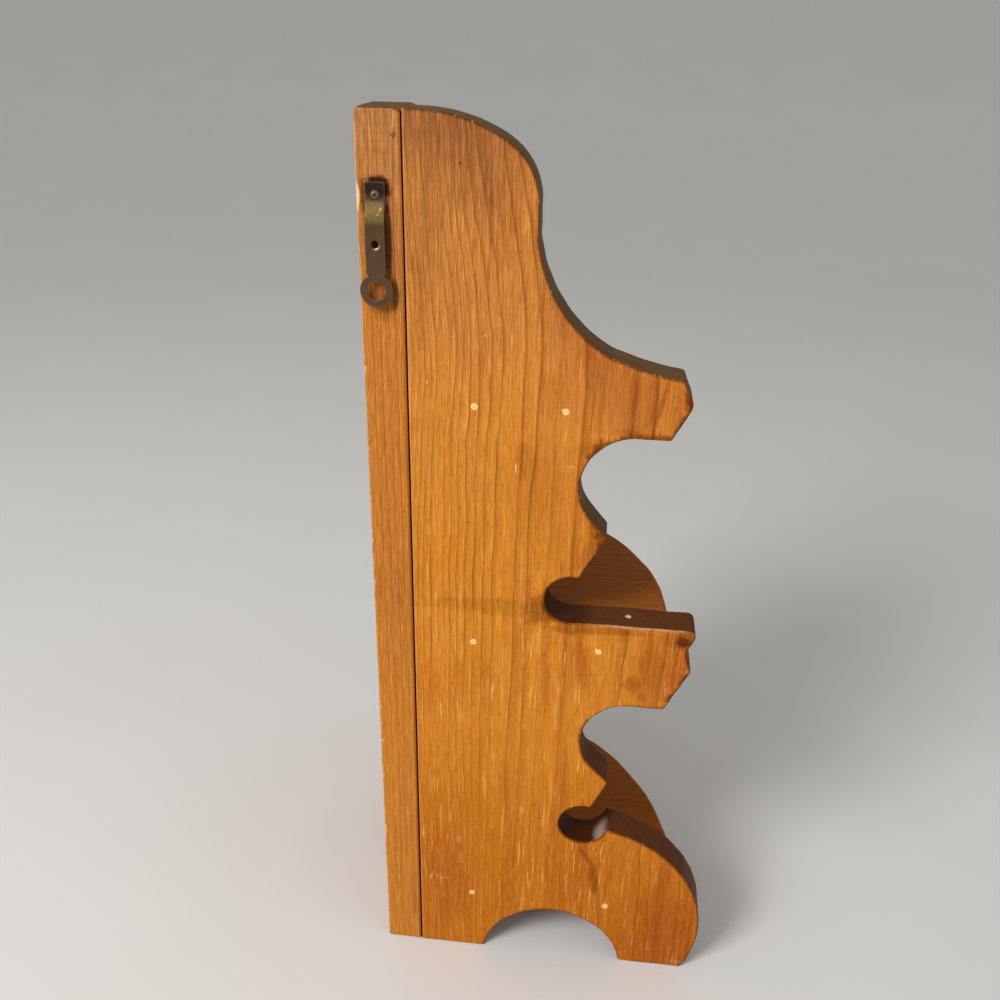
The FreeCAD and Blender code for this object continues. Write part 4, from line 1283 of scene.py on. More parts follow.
def board_material(side, wood):
    """Varnished wall side, with year rings, stains and scuffs, and darkly stained edges and room side."""
    material, kit, shader = new_material(f"{side}_board_wood", **WOOD_SHEEN)
    paint = BoardPaint(kit, side, wood)
    timber = paint.timber
    amber = paint.varnished()
    amber = paint.face_marks(amber) if side == "right" else paint.strip_marks(amber)
    amber = paint.worn_edges(amber)
    stained = kit.attribute("stained")
    base = kit.mix(kit.smooth(stained, 0.25, 0.75), amber, paint.stained_edge())
    kit.feed(shader["Base Color"], paint.joint(base, stained))
    gloss = kit.scaled(timber["Fibre"], 0.16, 0.36)
    kit.feed(shader["Roughness"], kit.scaled(stained, 0.08, gloss))
    relief = kit.minus(kit.times(timber["Fibre"], 0.6), kit.times(timber["Line"], 0.4))
    relief = kit.minus(relief, kit.times(timber["Pore"], 0.25))
    kit.feed(shader["Normal"], kit.bump(relief, BOARD_RELIEF))
    return material


def shelf_material(wood):
    """Darkly stained wood of the shelves, with the grain along the right side board."""
    material, kit, shader = new_material("shelf_wood", **WOOD_SHEEN)
    place = corner_place(kit, (1, 2, 0))
    timber = kit.group("timber_figure", Place=place, Heart=60.0, Heart_depth=40.0, Lean=0.0,
                       Rings=0.006, Wobble=0.5)
    fibre = kit.scaled(timber["Fibre"], 1.8, 0.1)
    base = kit.mix(kit.times(timber["Tone"], 0.5), wood.room_brown, wood.edge_brown)
    base = kit.shade(base, fibre)
    base = kit.mix(kit.times(timber["Line"], 0.4), base, wood.room_line)
    base = kit.mix(kit.times(timber["Pore"], 0.4), base, wood.room_line)
    wear = kit.group("edge_wear", Place=place, Edge=kit.attribute("edge_mm"), Bleed=2.0)
    base = kit.mix(kit.times(wear["Rubbed"], 0.25), base, wood.ring_line)
    kit.feed(shader["Base Color"], base)
    kit.feed(shader["Roughness"], kit.scaled(timber["Fibre"], 0.2, 0.42))
    kit.feed(shader["Normal"], kit.bump(timber["Fibre"], 0.06 * MM))
    return material


def filler_material(filler):
    """Dry cream filler, crumbly, with a darker sunk core where it shrank."""
    material, kit, shader = new_material("nail_filler")
    place = corner_place(kit)
    crumb = kit.noise(place, "crumb")
    base = kit.mix(kit.smooth(crumb, 0.35, 0.75), filler.cream, filler.core)
    base = kit.mix(kit.times(kit.attribute("core"), 0.8), base, filler.core)
    kit.feed(shader["Base Color"], base)
    kit.feed(shader["Roughness"], kit.scaled(crumb, 0.2, 0.65))
    kit.feed(shader["Normal"], kit.bump(crumb, 0.1 * MM))
    return material


def varnish_material(wood):
    """Thick glossy varnish, darker towards the end of the run, and pale where it is thin, partly as a
    painted highlight.
    """
    material, kit, shader = new_material("varnish_run", IOR=1.5, Specular_IOR_Level=0.5)
    mottle = kit.noise(corner_place(kit), "varnish")
    share = kit.plus(kit.attribute("thick"), kit.about_zero(mottle, 0.3), clamp=True)
    kit.feed(shader["Base Color"], kit.mix(share, wood.varnish_run, wood.varnish_end))
    kit.feed(shader["Roughness"], kit.scaled(mottle, 0.16, 0.1))
    return material


def metal_material(name, bare, tarnish, bright, patches, gloss):
    """Old metal: tarnished, scratched and pitted, with bright edges and patches of other colours. The
    bright edges are worn metal on the strap and a painted highlight round the screw's head, and some
    patches are painted shade and painted highlights.
    """
    material, kit, shader = new_material(name)
    place = corner_place(kit)
    old = kit.group("old_metal", Place=place)
    base = kit.mix(kit.times(old["Tarnish"], 0.55), bare, tarnish)
    for colour, centre, half, strength, core, slant in patches:
        uneven = kit.scaled(old["Tarnish"], 0.3, -0.12)
        spot = kit.spot(place, centre, half, uneven, slant, core)["Mask"]
        base = kit.mix(kit.times(spot, strength), base, colour)
    # Bright rim: worn edges on the strap, and a painted highlight round the screw's head
    rim = kit.smooth(kit.attribute("edge_mm"), 0.3, 0.05)
    rim = kit.times(rim, kit.smooth(old["Scratch"], 0.35, 0.6))
    base = kit.mix(kit.times(rim, 0.4), base, bright)
    base = kit.mix(kit.times(old["Pit"], 0.6), base, tarnish)
    kit.feed(shader["Base Color"], base)
    kit.feed(shader["Metallic"], kit.scaled(old["Tarnish"], -0.35, 0.85))
    kit.feed(shader["Roughness"], kit.scaled(old["Scratch"], 0.25, gloss))
    relief = kit.minus(kit.times(old["Scratch"], 0.5), old["Pit"])
    kit.feed(shader["Normal"], kit.bump(relief, 0.03 * MM))
    return material


def floor_material(colour):
    """Plain pale matt floor with a faint mottle."""
    material, kit, shader = new_material("pale_floor", Roughness=0.85)
    seen = kit.add("TexCoord").outputs["Object"]
    mottle = kit.scaled(kit.noise(seen, "floor"), 0.05, 0.975)
    kit.feed(shader["Base Color"], kit.shade(tuple(colour), mottle))
    return material


# Pieces

# Scroll saw: lengths of its ripples and of its slower drift, and the drift in ripple depths
RIPPLE_PERIOD = 2.2 * MM
DRIFT_PERIOD = 19 * MM
DRIFT = 1.6
# Share of a side board's thickness at which its outline is read, clear of the nails
CLEAR_SHARE = {"left": 0.82, "right": 0.26}
# Points this close to a planed line lie on it, and this close to the rear are on the rear edge
FLUSH = 0.02 * MM
REAR_BAND = 0.6 * MM
# The seam opens downwards: its share at the crown, and what it gains down to the foot
SEAM_AT_CROWN = 0.75
SEAM_GAIN = 0.25
# Height of the left board's worn top edge, and the averagings that fade it out
CROWN_BAND = 6 * MM
CROWN_ROUNDS = 10
# Rows of points across a sawn edge, beside the seat, and in the seat as shares of its width
EDGE_ROWS = tuple(np.linspace(0, 1, 7))
ROWS_BEFORE_SEAT = (0.0, 0.05)
ROWS_AFTER_SEAT = (0.82, 0.92, 1.0)
SEAT_ROWS = np.array([-0.02, 0.03, 0.15, 0.38, 0.62, 0.85, 0.97, 1.02])
# Chiselled seat: raggedness of its ends and the lengths of its waves, slope of its sides, tool marks
SEAT_RAGGED = 0.4 * MM
SEAT_WAVES = (1.5 * MM, 4 * MM)
SEAT_SLOPE = (-0.15 * MM, 0.25 * MM)
TOOL_MARK = 0.08 * MM
TOOL_PERIOD = 2.5 * MM
# How far in the seat reaches past the rear edge, and how much dark room-side colour its sunk wood gets,
# as painted shade in the recess
SEAT_BAND = 0.3 * MM
SEAT_SHADE = 0.3
# Share of a shelf's thickness below its top at which its outline is read
SHELF_SHARE = 0.35
# Depth of a shelf's round front line, and the averagings that fade its rounding out
FRONT_BAND = 0.4 * MM
FRONT_ROUNDS = 12


def sawn_loop(loop, settings, seed):
    """An outline with the slight waves and ripples that a scroll saw leaves."""
    reach = loop_length(loop)
    waves = wander(reach, RIPPLE_PERIOD, seed) + DRIFT * wander(reach, DRIFT_PERIOD, seed + 1)
    return loop + inward(loop) * (settings.saw_ripple * waves)[:, None]


def screw_place():
    """Middle of the hanger's screw, along X and up."""
    low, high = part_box("hanger_screw")
    return np.array([(low.x + high.x) / 2, (low.z + high.z) / 2])


def seat_rows(settings, thickness):
    """Shares of the left board's thickness at which its rear edge has rows of points."""
    width = settings.seat_width / thickness
    start = (screw_place()[0] - CORNER[0]) / thickness - width / 2
    return [*ROWS_BEFORE_SEAT, *(start + width * SEAT_ROWS), *ROWS_AFTER_SEAT]


def chisel_seat(points, at_rear, settings, seed):
    """Sink the points of a rear edge into the ragged seat that was chiselled for the strap's end.

    The depth is switched on by an S-curve of the room to the seat's nearest side or ragged end.
    """
    spot = np.column_stack([points[:, 2] + CORNER[0], points[:, 1]]) - screw_place()
    ragged = sum(SEAT_RAGGED * wander(spot, wave, seed + turn) for turn, wave in enumerate(SEAT_WAVES))
    side_room = settings.seat_width / 2 - np.abs(spot[:, 0])
    end_room = np.minimum(settings.seat_above - spot[:, 1], settings.seat_below + spot[:, 1])
    sunk = at_rear * smoothstep(np.minimum(side_room, end_room + ragged), *SEAT_SLOPE)
    points[:, 0] += sunk * (settings.seat_depth + TOOL_MARK * wander(spot, TOOL_PERIOD, seed + 2))
    return sunk


def build_side_board(side, shelf):
    """A side board: its outline is read from the frame, just clear of the nails, and swept."""
    settings = shelf.boards
    node = f"{side}_side_panel"
    low, high = (np.array(corner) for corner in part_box(node))
    axis = SIDES.index(side)
    thickness = high[axis] - low[axis]
    outline = section_outline(node, axis, low[axis] + thickness * CLEAR_SHARE[side])
    loop = smooth_loop(outline, settings.outline_step)
    planed = loop[:, 0] < loop[:, 0].min() + FLUSH
    rear = loop[:, 0] < loop[:, 0].min() + REAR_BAND
    footing = loop[:, 1] < FLUSH
    loop = np.where((planed | footing)[:, None], loop, sawn_loop(loop, settings, shelf.seed))
    wall_edge = np.full(len(loop), settings.wall_easing)
    if side == "right":
        gape = SEAM_AT_CROWN + SEAM_GAIN * (1 - loop[:, 1] / PANEL_HEIGHT)
        loop[:, 0] += planed * gape * settings.seam
        wall_edge = np.where(planed, settings.joint_easing, wall_edge)
        rows, wall_stain = EDGE_ROWS, np.ones(len(loop))
    else:
        wall_edge = np.where(loop[:, 1] > PANEL_HEIGHT - CROWN_BAND, settings.crown_easing, wall_edge)
        wall_edge = soften(wall_edge, CROWN_ROUNDS)
        rows, wall_stain = seat_rows(settings, thickness), np.where(rear, 0.0, 1.0)
    room_edge = np.where(planed, settings.joint_easing, settings.room_easing)
    plate = Plate(loop, wall_edge, room_edge, thickness, settings, plug_centres(side))
    points, faces, marks = plate.build(rows, wall_stain, shelf.seed + 3)
    if side == "right":
        spots = (points[:, 0] - CORNER[0]) / MM, points[:, 1] / MM
        for label, (zones, core) in FACE_ZONES.items():
            marks[label] = zone_share(*spots, zones, core)
    else:
        at_rear = points[:, 0] < loop[rear, 0].max() + SEAT_BAND
        eased = settings.wall_easing
        at_rear &= (points[:, 2] > eased) & (points[:, 2] < thickness - eased)
        sunk = chisel_seat(points, at_rear.astype(float), settings, shelf.seed + 5)
        # Painted shade: the sunk seat takes a little of the dark room-side colour
        marks["stained"] = np.maximum(marks["stained"], SEAT_SHADE * sunk)
    across, up, depth = AXES[1 - axis], AXES[2], AXES[axis]
    points = in_space(points, across, up, depth, AXES[axis] * low[axis])
    return new_piece(f"{side}_scroll_board", points, turned_out(faces, across, up, depth),
                     board_material(side, shelf.wood), "shelf", [node], marks)


def build_shelf(level, shelf, material):
    """A quarter-round shelf: square where it meets the side boards, rounded along its front."""
    settings = shelf.boards
    node = f"{level}_shelf"
    low, high = (np.array(corner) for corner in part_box(node))
    thickness = high[2] - low[2]
    outline = section_outline(node, 2, high[2] - thickness * SHELF_SHARE)
    loop = smooth_loop(outline, settings.outline_step)
    front = np.linalg.norm(loop - low[:2], axis=1) > (high[0] - low[0]) - FRONT_BAND
    edge = soften(np.where(front, settings.shelf_easing, settings.joint_easing), FRONT_ROUNDS)
    loop = loop + (sawn_loop(loop, settings, shelf.seed + 11) - loop) * front[:, None]
    plate = Plate(loop, edge, edge, thickness, settings)
    points, faces, marks = plate.build(EDGE_ROWS, np.ones(len(loop)), shelf.seed + 13)
    points = in_space(points, AXES[0], AXES[1], -AXES[2], AXES[2] * high[2])
    faces = turned_out(faces, AXES[0], AXES[1], -AXES[2])
    return new_piece(f"{level}_shelf_board", points, faces, material, "shelf", [node],
                     marks)


# Profile of a filler plug's head: shares of the hole's radius, and sinking in shares of the proud height
PLUG_RADII = np.array([0, 0.25, 0.5, 0.72, 0.9, 1.06, 1.12])
PLUG_SINKING = np.array([0.2, 0.0, -0.7, -1.0, -0.9, -0.45, 0.6])
PLUG_COLUMNS = 36
# Width and length of a plug's stem as shares of its hole's
STEM_WIDTH = 0.96
STEM_LENGTH = 0.97
# Neat and ragged plugs take turns: unevenness of their rims, and how far their cores shrank
PLUG_ROUGH = (0.05, 0.2)
PLUG_SHRUNK = (1.0, 0.15)
# Lengths of the waves in a plug's rim, on a circle of radius 1, and the share of the shorter ones
PLUG_WAVES = (1.4, 0.5)
PLUG_SHORT_WAVES = 0.5
# Radius of a plug's core as a share of the hole's
CORE_SHARE = 0.5
# Step between the seeds of two plugs
PLUG_SEEDS = 31


def build_filler(side, shelf, material):
    """Plugs of filler: discs of uneven radius, a little proud, on short stems that fill the nail holes.

    Each is a turned profile; its outer rows are stretched by a wobble of the angle.
    """
    boards, proud = shelf.boards, shelf.filler.proud
    axis = SIDES.index(side)
    across, up, depth = AXES[1 - axis], AXES[2], AXES[axis]
    stem, deep = boards.hole_radius * STEM_WIDTH, boards.hole_depth * STEM_LENGTH
    radius = np.concatenate([PLUG_RADII * boards.hole_radius, [stem, stem, stem * 0.5, 0]])
    sunk = np.concatenate([PLUG_SINKING * proud, [2 * proud, deep, deep, deep]])
    heads = radius[:, None] > stem * 1.01
    circle = ring_spots(np.zeros(2), 1, PLUG_COLUMNS)
    core_share = np.clip(1 - radius / (CORE_SHARE * boards.hole_radius), 0, 1)
    points, faces, core = [], [], []
    for number, centre in enumerate(plug_centres(side)):
        seed = shelf.seed + PLUG_SEEDS * number + axis
        waves = [wander(circle, wave, seed + turn) for turn, wave in enumerate(PLUG_WAVES)]
        uneven = 1 + PLUG_ROUGH[number % 2] * (waves[0] + PLUG_SHORT_WAVES * waves[1])
        flat = centre + (radius[:, None] * np.where(heads, uneven, 1.0))[..., None] * circle
        level = np.broadcast_to(sunk[:, None, None], (len(radius), PLUG_COLUMNS, 1))
        plug, plug_faces = closed_tube(np.concatenate([flat, level], 2)[:, ::-1])
        faces += [part + len(plug) * number for part in plug_faces]
        points.append(plug)
        core.append(tube_marks(PLUG_SHRUNK[number % 2] * core_share, PLUG_COLUMNS))
    origin = AXES[axis] * CORNER[axis]
    points = in_space(np.concatenate(points), across, up, depth, origin)
    faces = turned_out(faces, across, up, depth)
    return new_piece(f"{side}_filler_plugs", points, faces, material, "shelf",
                     [f"{side}_nail_filler"], {"core": np.concatenate(core)})


# Rounding of the strap's end corners
STRAP_CORNER = 0.8 * MM
# Spacing of points along the strap's rim and inside it, and the square that holds one point at most
RIM_STEP = 0.24 * MM
STRAP_STEP = 0.9 * MM
STRAP_CELL = 0.05 * MM
# Rows of points inside the rim, in edge roundings, and how far inside the even points begin
STRAP_ROWS = np.array([0, 0.12, 0.4, 0.7, 1.0, 1.5, 3.0])
STRAP_MARGIN = 4
STRAP_SLACK = 0.96
# A point this near the rim is moved onto it, and kept where it then lies this close
RIM_NEAR = 0.3 * MM
RIM_EXACT = 0.012 * MM
# Small step over which slopes are measured
NUDGE = 0.01 * MM
# Unevenness of the strap's rounded edges and its waves, their share on the back, depth of the bevel
EDGE_ROUGH = 0.35
EDGE_WAVE = 6 * MM
BACK_EDGE = 0.6
BEVEL_DEPTH = 0.7
# Patches on the strap: colour, middle from the screw and half size in millimetres, strength, core, slant
STRAP_PATCHES = (
    # Bare brass on the ramp, partly a painted highlight where the ramp faces up
    ("brass", (0, 0, -7.6), (12.0, 9.0, 6.4), 0.9, 0.35, 0.0),
    ("olive", (-1.0, 0, -10.4), (12.0, 9.0, 4.4), 0.8, 0.1, 0.0),
    # Painted shade over the strap's top end, where it lies in the seat
    ("tarnish", (0, 0, 2.6), (12.0, 9.0, 5.6), 0.9, 0.5, 0.0),
    ("bright", (2.4, 0, -5.6), (0.4, 9.0, 1.2), 0.75, 0.1, 0.5),
    ("bright", (1.4, 0, -7.6), (0.8, 9.0, 0.6), 0.3, 0.1, 0.5),
)
# Painted highlight on the far rim of the empty screw hole: shift across and down, and its share of the
# bevel's radius
HOLE_HIGHLIGHT_SHIFT = (0.75, -0.6)
HOLE_HIGHLIGHT_SHARE = 0.8
# Roughness of the strap's bronze and the screw's steel where they are clean
STRAP_GLOSS = 0.34
SCREW_GLOSS = 0.3


def ring_radius():
    """Radius of the hanger's ring, which is the strap's widest part."""
    low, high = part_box("hanger_strap")
    return (high.x - low.x) / 2


def screw_over_ring():
    """Height of the screw over the ring's centre."""
    return screw_place()[1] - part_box("hanger_strap")[0].z - ring_radius()


def strap_holes(hanger):
    """Bore, screw holes and nicks of the strap, as (across, up, radius) from the ring's centre."""
    screw_up = screw_over_ring()
    holes = [(0, 0, hanger.bore), (0, screw_up, hanger.screw_hole)]
    holes += [(0, screw_up - hanger.spare_drop, hanger.spare_hole)]
    holes += [(sign * hanger.width / 2, ring_radius() - hanger.nick, hanger.nick) for sign in (-1, 1)]
    return holes


def strap_distance(spot, hanger, top):
    """Signed distance to the strap's flat shape, from the ring's centre, negative in the metal.

    The shape is an arm and a disc taken together, less the bore, the two screw holes and the nicks.
    """
    half = hanger.width / 2
    box = np.abs(spot - [0, top / 2]) - [half - STRAP_CORNER, top / 2 - STRAP_CORNER]
    arm = np.linalg.norm(np.maximum(box, 0), axis=1) + np.minimum(box.max(1), 0) - STRAP_CORNER
    shape = np.minimum(arm, np.linalg.norm(spot, axis=1) - ring_radius())
    for across, up, radius in strap_holes(hanger):
        shape = np.maximum(shape, radius - np.linalg.norm(spot - [across, up], axis=1))
    return shape


def strap_rim(hanger, top):
    """Points on the strap's outline, and the directions out of the metal there.

    Points of all its circles and straight lines are moved onto the outline along the distance's slope.
    Those that don't reach it, because another part of the strap covers them, are left out.
    """
    half = hanger.width / 2
    side = np.arange(0, top, RIM_STEP)
    level = np.arange(-half, half, RIM_STEP)
    rims = []
    for across, up, radius in [(0, 0, ring_radius()), *strap_holes(hanger)]:
        rims.append(ring_spots(np.array([across, up]), radius, int(FULL_TURN * radius / RIM_STEP)))
    rims += [np.column_stack([np.full(len(side), sign * half), side]) for sign in (-1, 1)]
    rims += [np.column_stack([level, np.full(len(level), top)])]
    rims = np.concatenate(rims)
    near = strap_distance(rims, hanger, top)
    slope = [(strap_distance(rims + NUDGE * step, hanger, top) - near) / NUDGE for step in np.eye(2)]
    out = unit(np.stack(slope, 1))
    close = np.abs(near) < RIM_NEAR
    rims, out = (rims - out * near[:, None])[close], out[close]
    exact = np.abs(strap_distance(rims, hanger, top)) < RIM_EXACT
    return rims[exact], out[exact]


def strap_face(hanger, top):
    """Points of the strap's flat shape, their distances to its outline, and its triangles.

    Rows of points follow the outline at set distances inside it, and even points fill the rest.
    """
    rims, out = strap_rim(hanger, top)
    ring = ring_radius()
    insets = hanger.edge * STRAP_ROWS
    fill = lattice([-ring, -ring], [ring, top], STRAP_STEP)
    points = np.concatenate([rims - out * inset for inset in insets] + [fill])
    inner = np.full(len(fill), hanger.edge * STRAP_MARGIN)
    wanted = np.concatenate([np.repeat(insets, len(rims)), inner])
    distance = -strap_distance(points, hanger, top)
    kept = distance > wanted * STRAP_SLACK - RIM_EXACT
    points, distance = points[kept], np.maximum(distance[kept], 0)
    _, first = np.unique(np.round(points / STRAP_CELL).astype(int), axis=0, return_index=True)
    points, distance = points[first], distance[first]
    triangles = triangulate(points, [], 0)
    middle = points[triangles].mean(1)
    return points, distance, triangles[strap_distance(middle, hanger, top) < 0]


def open_edges(triangles, count):
    """Edges that only one triangle has, each in that triangle's direction."""
    edge = np.concatenate([triangles[:, [0, 1]], triangles[:, [1, 2]], triangles[:, [2, 0]]])
    key = np.sort(edge, 1) @ [count, 1]
    _, number, times = np.unique(key, return_inverse=True, return_counts=True)
    return edge[times[number.reshape(-1)] == 1]


def strap_bend(up, hanger, tail, seat, screw_up):
    """Middle of the strap's thickness at a height: flat tail, ramp and flat seat, with soft bends.

    The slope is switched on and off by soft steps, so the line is the difference of two soft ramps.
    """
    end = screw_up - hanger.seat_run
    start = end - hanger.ramp_run
    soft = [hanger.bend * np.logaddexp(0, (up - place) / hanger.bend) for place in (start, end)]
    return tail + (soft[0] - soft[1]) * (seat - tail) / hanger.ramp_run


def strap_patches(hanger, screw_spot):
    """Patches of bare, dark and bright metal on the strap, for its material, among them painted shade
    over its top end and a painted highlight on the empty screw hole's far rim.
    """
    patches = []
    for name, shift, half, strength, core, slant in STRAP_PATCHES:
        patches.append((getattr(hanger, name), screw_spot + shift, half, strength, core, slant))
    # Painted highlight on the empty screw hole's far rim
    across, up = HOLE_HIGHLIGHT_SHIFT
    hole_highlight = screw_spot + [across, 0, up - hanger.spare_drop / MM]
    rim = HOLE_HIGHLIGHT_SHARE * (hanger.spare_hole + hanger.countersink) / MM
    return patches + [(hanger.bright, hole_highlight, (rim, 9.0, rim), 0.7, 0.5, 0.0)]


def build_strap(shelf):
    """Strap hanger: a punched flat shape with rounded edges, bent along its ramp.

    A point lies on the bent middle line at its height, moved along the line's normal by its depth.
    """
    hanger = shelf.hanger
    low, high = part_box("hanger_strap")
    screw_up = screw_over_ring()
    centre = np.array([(low.x + high.x) / 2, low.z + ring_radius()])
    points, distance, triangles = strap_face(hanger, high.z - centre[1])
    count = len(points)
    rim = open_edges(triangles, count)
    faces = [triangles, triangles[:, ::-1] + count, np.column_stack([rim[:, ::-1], rim + count])]

    rough = 1 + EDGE_ROUGH * wander(points, EDGE_WAVE, shelf.seed + 21)
    spare = np.linalg.norm(points - [0, screw_up - hanger.spare_drop], axis=1) - hanger.spare_hole
    bevel = BEVEL_DEPTH * easing(spare, hanger.countersink)
    front = np.maximum(easing(distance, hanger.edge * rough), bevel)
    back = hanger.thickness - easing(distance, hanger.edge * BACK_EDGE)
    depth = np.concatenate([front, back]) - hanger.thickness / 2

    flat = np.tile(points, (2, 1))
    tail = low.y + hanger.thickness / 2
    seat = high.y - hanger.thickness / 2
    line = strap_bend(flat[:, 1], hanger, tail, seat, screw_up)
    lift = (strap_bend(flat[:, 1] + NUDGE, hanger, tail, seat, screw_up) - line) / NUDGE
    normal = unit(np.stack([np.ones(len(lift)), -lift], 1))
    place = np.column_stack([centre[0] + flat[:, 0], line + depth * normal[:, 0],
                             centre[1] + flat[:, 1] + depth * normal[:, 1]])
    screw_spot = (np.array([centre[0], low.y, centre[1] + screw_up]) - CORNER) / MM
    patches = strap_patches(hanger, screw_spot)
    material = metal_material("strap_bronze", hanger.bronze, hanger.tarnish, hanger.bright, patches,
                              STRAP_GLOSS)
    marks = {"edge_mm": np.tile(distance / MM, 2)}
    return new_piece("strap_hanger", place, faces, material, "hanger", ["hanger_strap"],
                     marks)


# Screw: rings of its dome as shares of the head's radius, points in a ring, and the head's underside
DOME_ROWS = np.array([0, 0.08, 0.16, 0.24, 0.32, 0.42, 0.52, 0.64, 0.76, 0.88, 0.96, 1.0])
SCREW_COLUMNS = 48
UNDER_HEAD = 0.97
# Plain neck under the head, spacing of the thread's rings, blunt end, and the thread's pitch and height
NECK_RUN = 3.0 * MM
THREAD_STEP = 0.12 * MM
BLUNT_END = 0.2 * MM
PITCH = 1.2 * MM
RIDGE = 0.22 * MM
# Cross recess: slopes of an arm's sides and ends, depth at the middle, and how it gets less outwards
CROSS_SIDES = (0.32 * MM, 0.16 * MM)
CROSS_ENDS = (1.25 * MM, 0.95 * MM)
CROSS_DEPTH = 0.55 * MM
CROSS_RISE = 0.25
# Half size of the painted shade in the cross recess, in millimetres
RECESS_SHADE_SPOT = (0.95, 9.0, 0.95)
# Height of the painted highlight round the head's rim
HEAD_HIGHLIGHT_HEIGHT = 0.3 * MM


def build_screw(shelf):
    """Cross-headed wood screw: a turned profile, a cross sunk into its dome, and a thread that winds on.

    The radius of the threaded rows swells where the turn's angle matches the height along the pitch.
    """
    hanger = shelf.hanger
    low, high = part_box("hanger_screw")
    middle = screw_place()
    angle = np.arange(SCREW_COLUMNS) * FULL_TURN / SCREW_COLUMNS
    head, rim, shank = hanger.head_height, hanger.head_radius, hanger.shank_radius
    dome_radius = (rim ** 2 + head ** 2) / (2 * head)
    dome = rim * DOME_ROWS
    dome_depth = dome_radius - np.sqrt(dome_radius ** 2 - dome ** 2)
    full = high.y - low.y
    neck = head + NECK_RUN
    run = np.arange(neck, full - BLUNT_END, THREAD_STEP)
    radius = np.concatenate([dome, [rim * UNDER_HEAD, shank], np.full(len(run), shank), [0]])
    depth = np.concatenate([dome_depth, [head, head], run, [full]])
    taper = np.clip((full - depth) / hanger.point_run, 0, 1)
    wave = np.cos(FULL_TURN * depth[:, None] / PITCH - angle)
    threaded = (depth > neck) * smoothstep(depth, neck, neck + PITCH)
    radius = radius[:, None] * np.where(depth > neck, taper, 1)[:, None]
    radius = radius - (threaded * taper)[:, None] * RIDGE * (0.5 - 0.5 * wave)
    flat = np.stack([radius * np.cos(angle), radius * np.sin(angle)], -1)
    arm = np.minimum(np.abs(flat[..., 0]), np.abs(flat[..., 1]))
    on_dome = (np.arange(len(depth)) < len(dome))[:, None]
    sunk = on_dome * smoothstep(arm, *CROSS_SIDES) * smoothstep(radius, *CROSS_ENDS)
    level = low.y + depth[:, None] + sunk * (CROSS_DEPTH - CROSS_RISE * radius)
    place = np.stack([middle[0] + flat[..., 0], level, middle[1] + flat[..., 1]], -1)
    points, faces = closed_tube(place[:, ::-1])
    # Painted shade in the cross recess
    crown = (np.array([middle[0], low.y, middle[1]]) - CORNER) / MM
    patches = [(hanger.tarnish, crown, RECESS_SHADE_SPOT, 0.6, 0.5, 0.0)]
    material = metal_material("screw_metal", hanger.screw_grey, hanger.tarnish, hanger.bright,
                              patches, SCREW_GLOSS)
    # Painted highlight round the head's rim
    bright = np.where(np.abs(depth - head) < HEAD_HIGHLIGHT_HEIGHT, 0.0, 1.0)
    marks = {"edge_mm": tube_marks(bright, SCREW_COLUMNS)}
    return new_piece("round_head_screw", points, faces, material, "shelf",
                     ["hanger_screw"], marks)


# Rings of the varnish run and points in a ring
RUN_RINGS = 40
RUN_COLUMNS = 24
# Its drop, as shares of the run's length: middle and reach
DROP_MIDDLE = 0.84
DROP_REACH = 0.13


def build_varnish_run(shelf):
    """Run of varnish down the rear edge: rings round a nearly straight line, flat towards the wood.

    Half width and height grow along the line towards a round drop at its lower end.
    """
    share = np.linspace(0, 1, RUN_RINGS)
    angle = np.arange(RUN_COLUMNS) * FULL_TURN / RUN_COLUMNS
    closing = np.sqrt(np.clip(1 - np.abs(2 * share - 1) ** 7, 0, 1))
    drop = np.exp(-((share - DROP_MIDDLE) / DROP_REACH) ** 2)
    half = closing * (0.62 + 0.1 * np.sin(9 * share) + 0.35 * drop) * MM
    rise = closing * (0.2 + 0.07 * np.sin(24 * share) + 0.24 * drop) * MM
    sink = closing * 0.1 * MM
    across = (16.5 - 0.6 * share + 0.15 * np.sin(7 * share)) * MM
    up = PANEL_HEIGHT - (1.0 + 10.2 * share) * MM
    lift = np.where(np.sin(angle) > 0, rise[:, None], sink[:, None]) * np.sin(angle)
    rings = np.stack([CORNER[0] + across[:, None] + half[:, None] * np.cos(angle), CORNER[1] - lift,
                      np.broadcast_to(up[:, None], lift.shape)], -1)
    points, faces = closed_tube(rings)
    marks = {"thick": tube_marks(0.1 + 0.85 * smoothstep(share, 0.5, 0.9), RUN_COLUMNS)}
    return new_piece("varnish_run", points, faces, varnish_material(shelf.wood), "shelf",
                     [], marks)


# Operators


class CORNERSHELF_OT_side_boards(bpy.types.Operator):
    """Build the two scroll-sawn side boards"""

    bl_idname = "corner_shelf.side_boards"
    bl_label = "Side boards"

    def execute(self, context):
        for side in SIDES:
            build_side_board(side, context.scene.corner_shelf)
        return {"FINISHED"}


class CORNERSHELF_OT_varnish_run(bpy.types.Operator):
    """Add the run of varnish on the rear edge"""

    bl_idname = "corner_shelf.varnish_run"
    bl_label = "Varnish run"

    def execute(self, context):
        build_varnish_run(context.scene.corner_shelf)
        return {"FINISHED"}


class CORNERSHELF_OT_shelves(bpy.types.Operator):
    """Build the three quarter-round shelves"""

    bl_idname = "corner_shelf.shelves"
    bl_label = "Shelves"

    def execute(self, context):
        material = shelf_material(context.scene.corner_shelf.wood)
        for level in LEVELS:
            build_shelf(level, context.scene.corner_shelf, material)
        return {"FINISHED"}


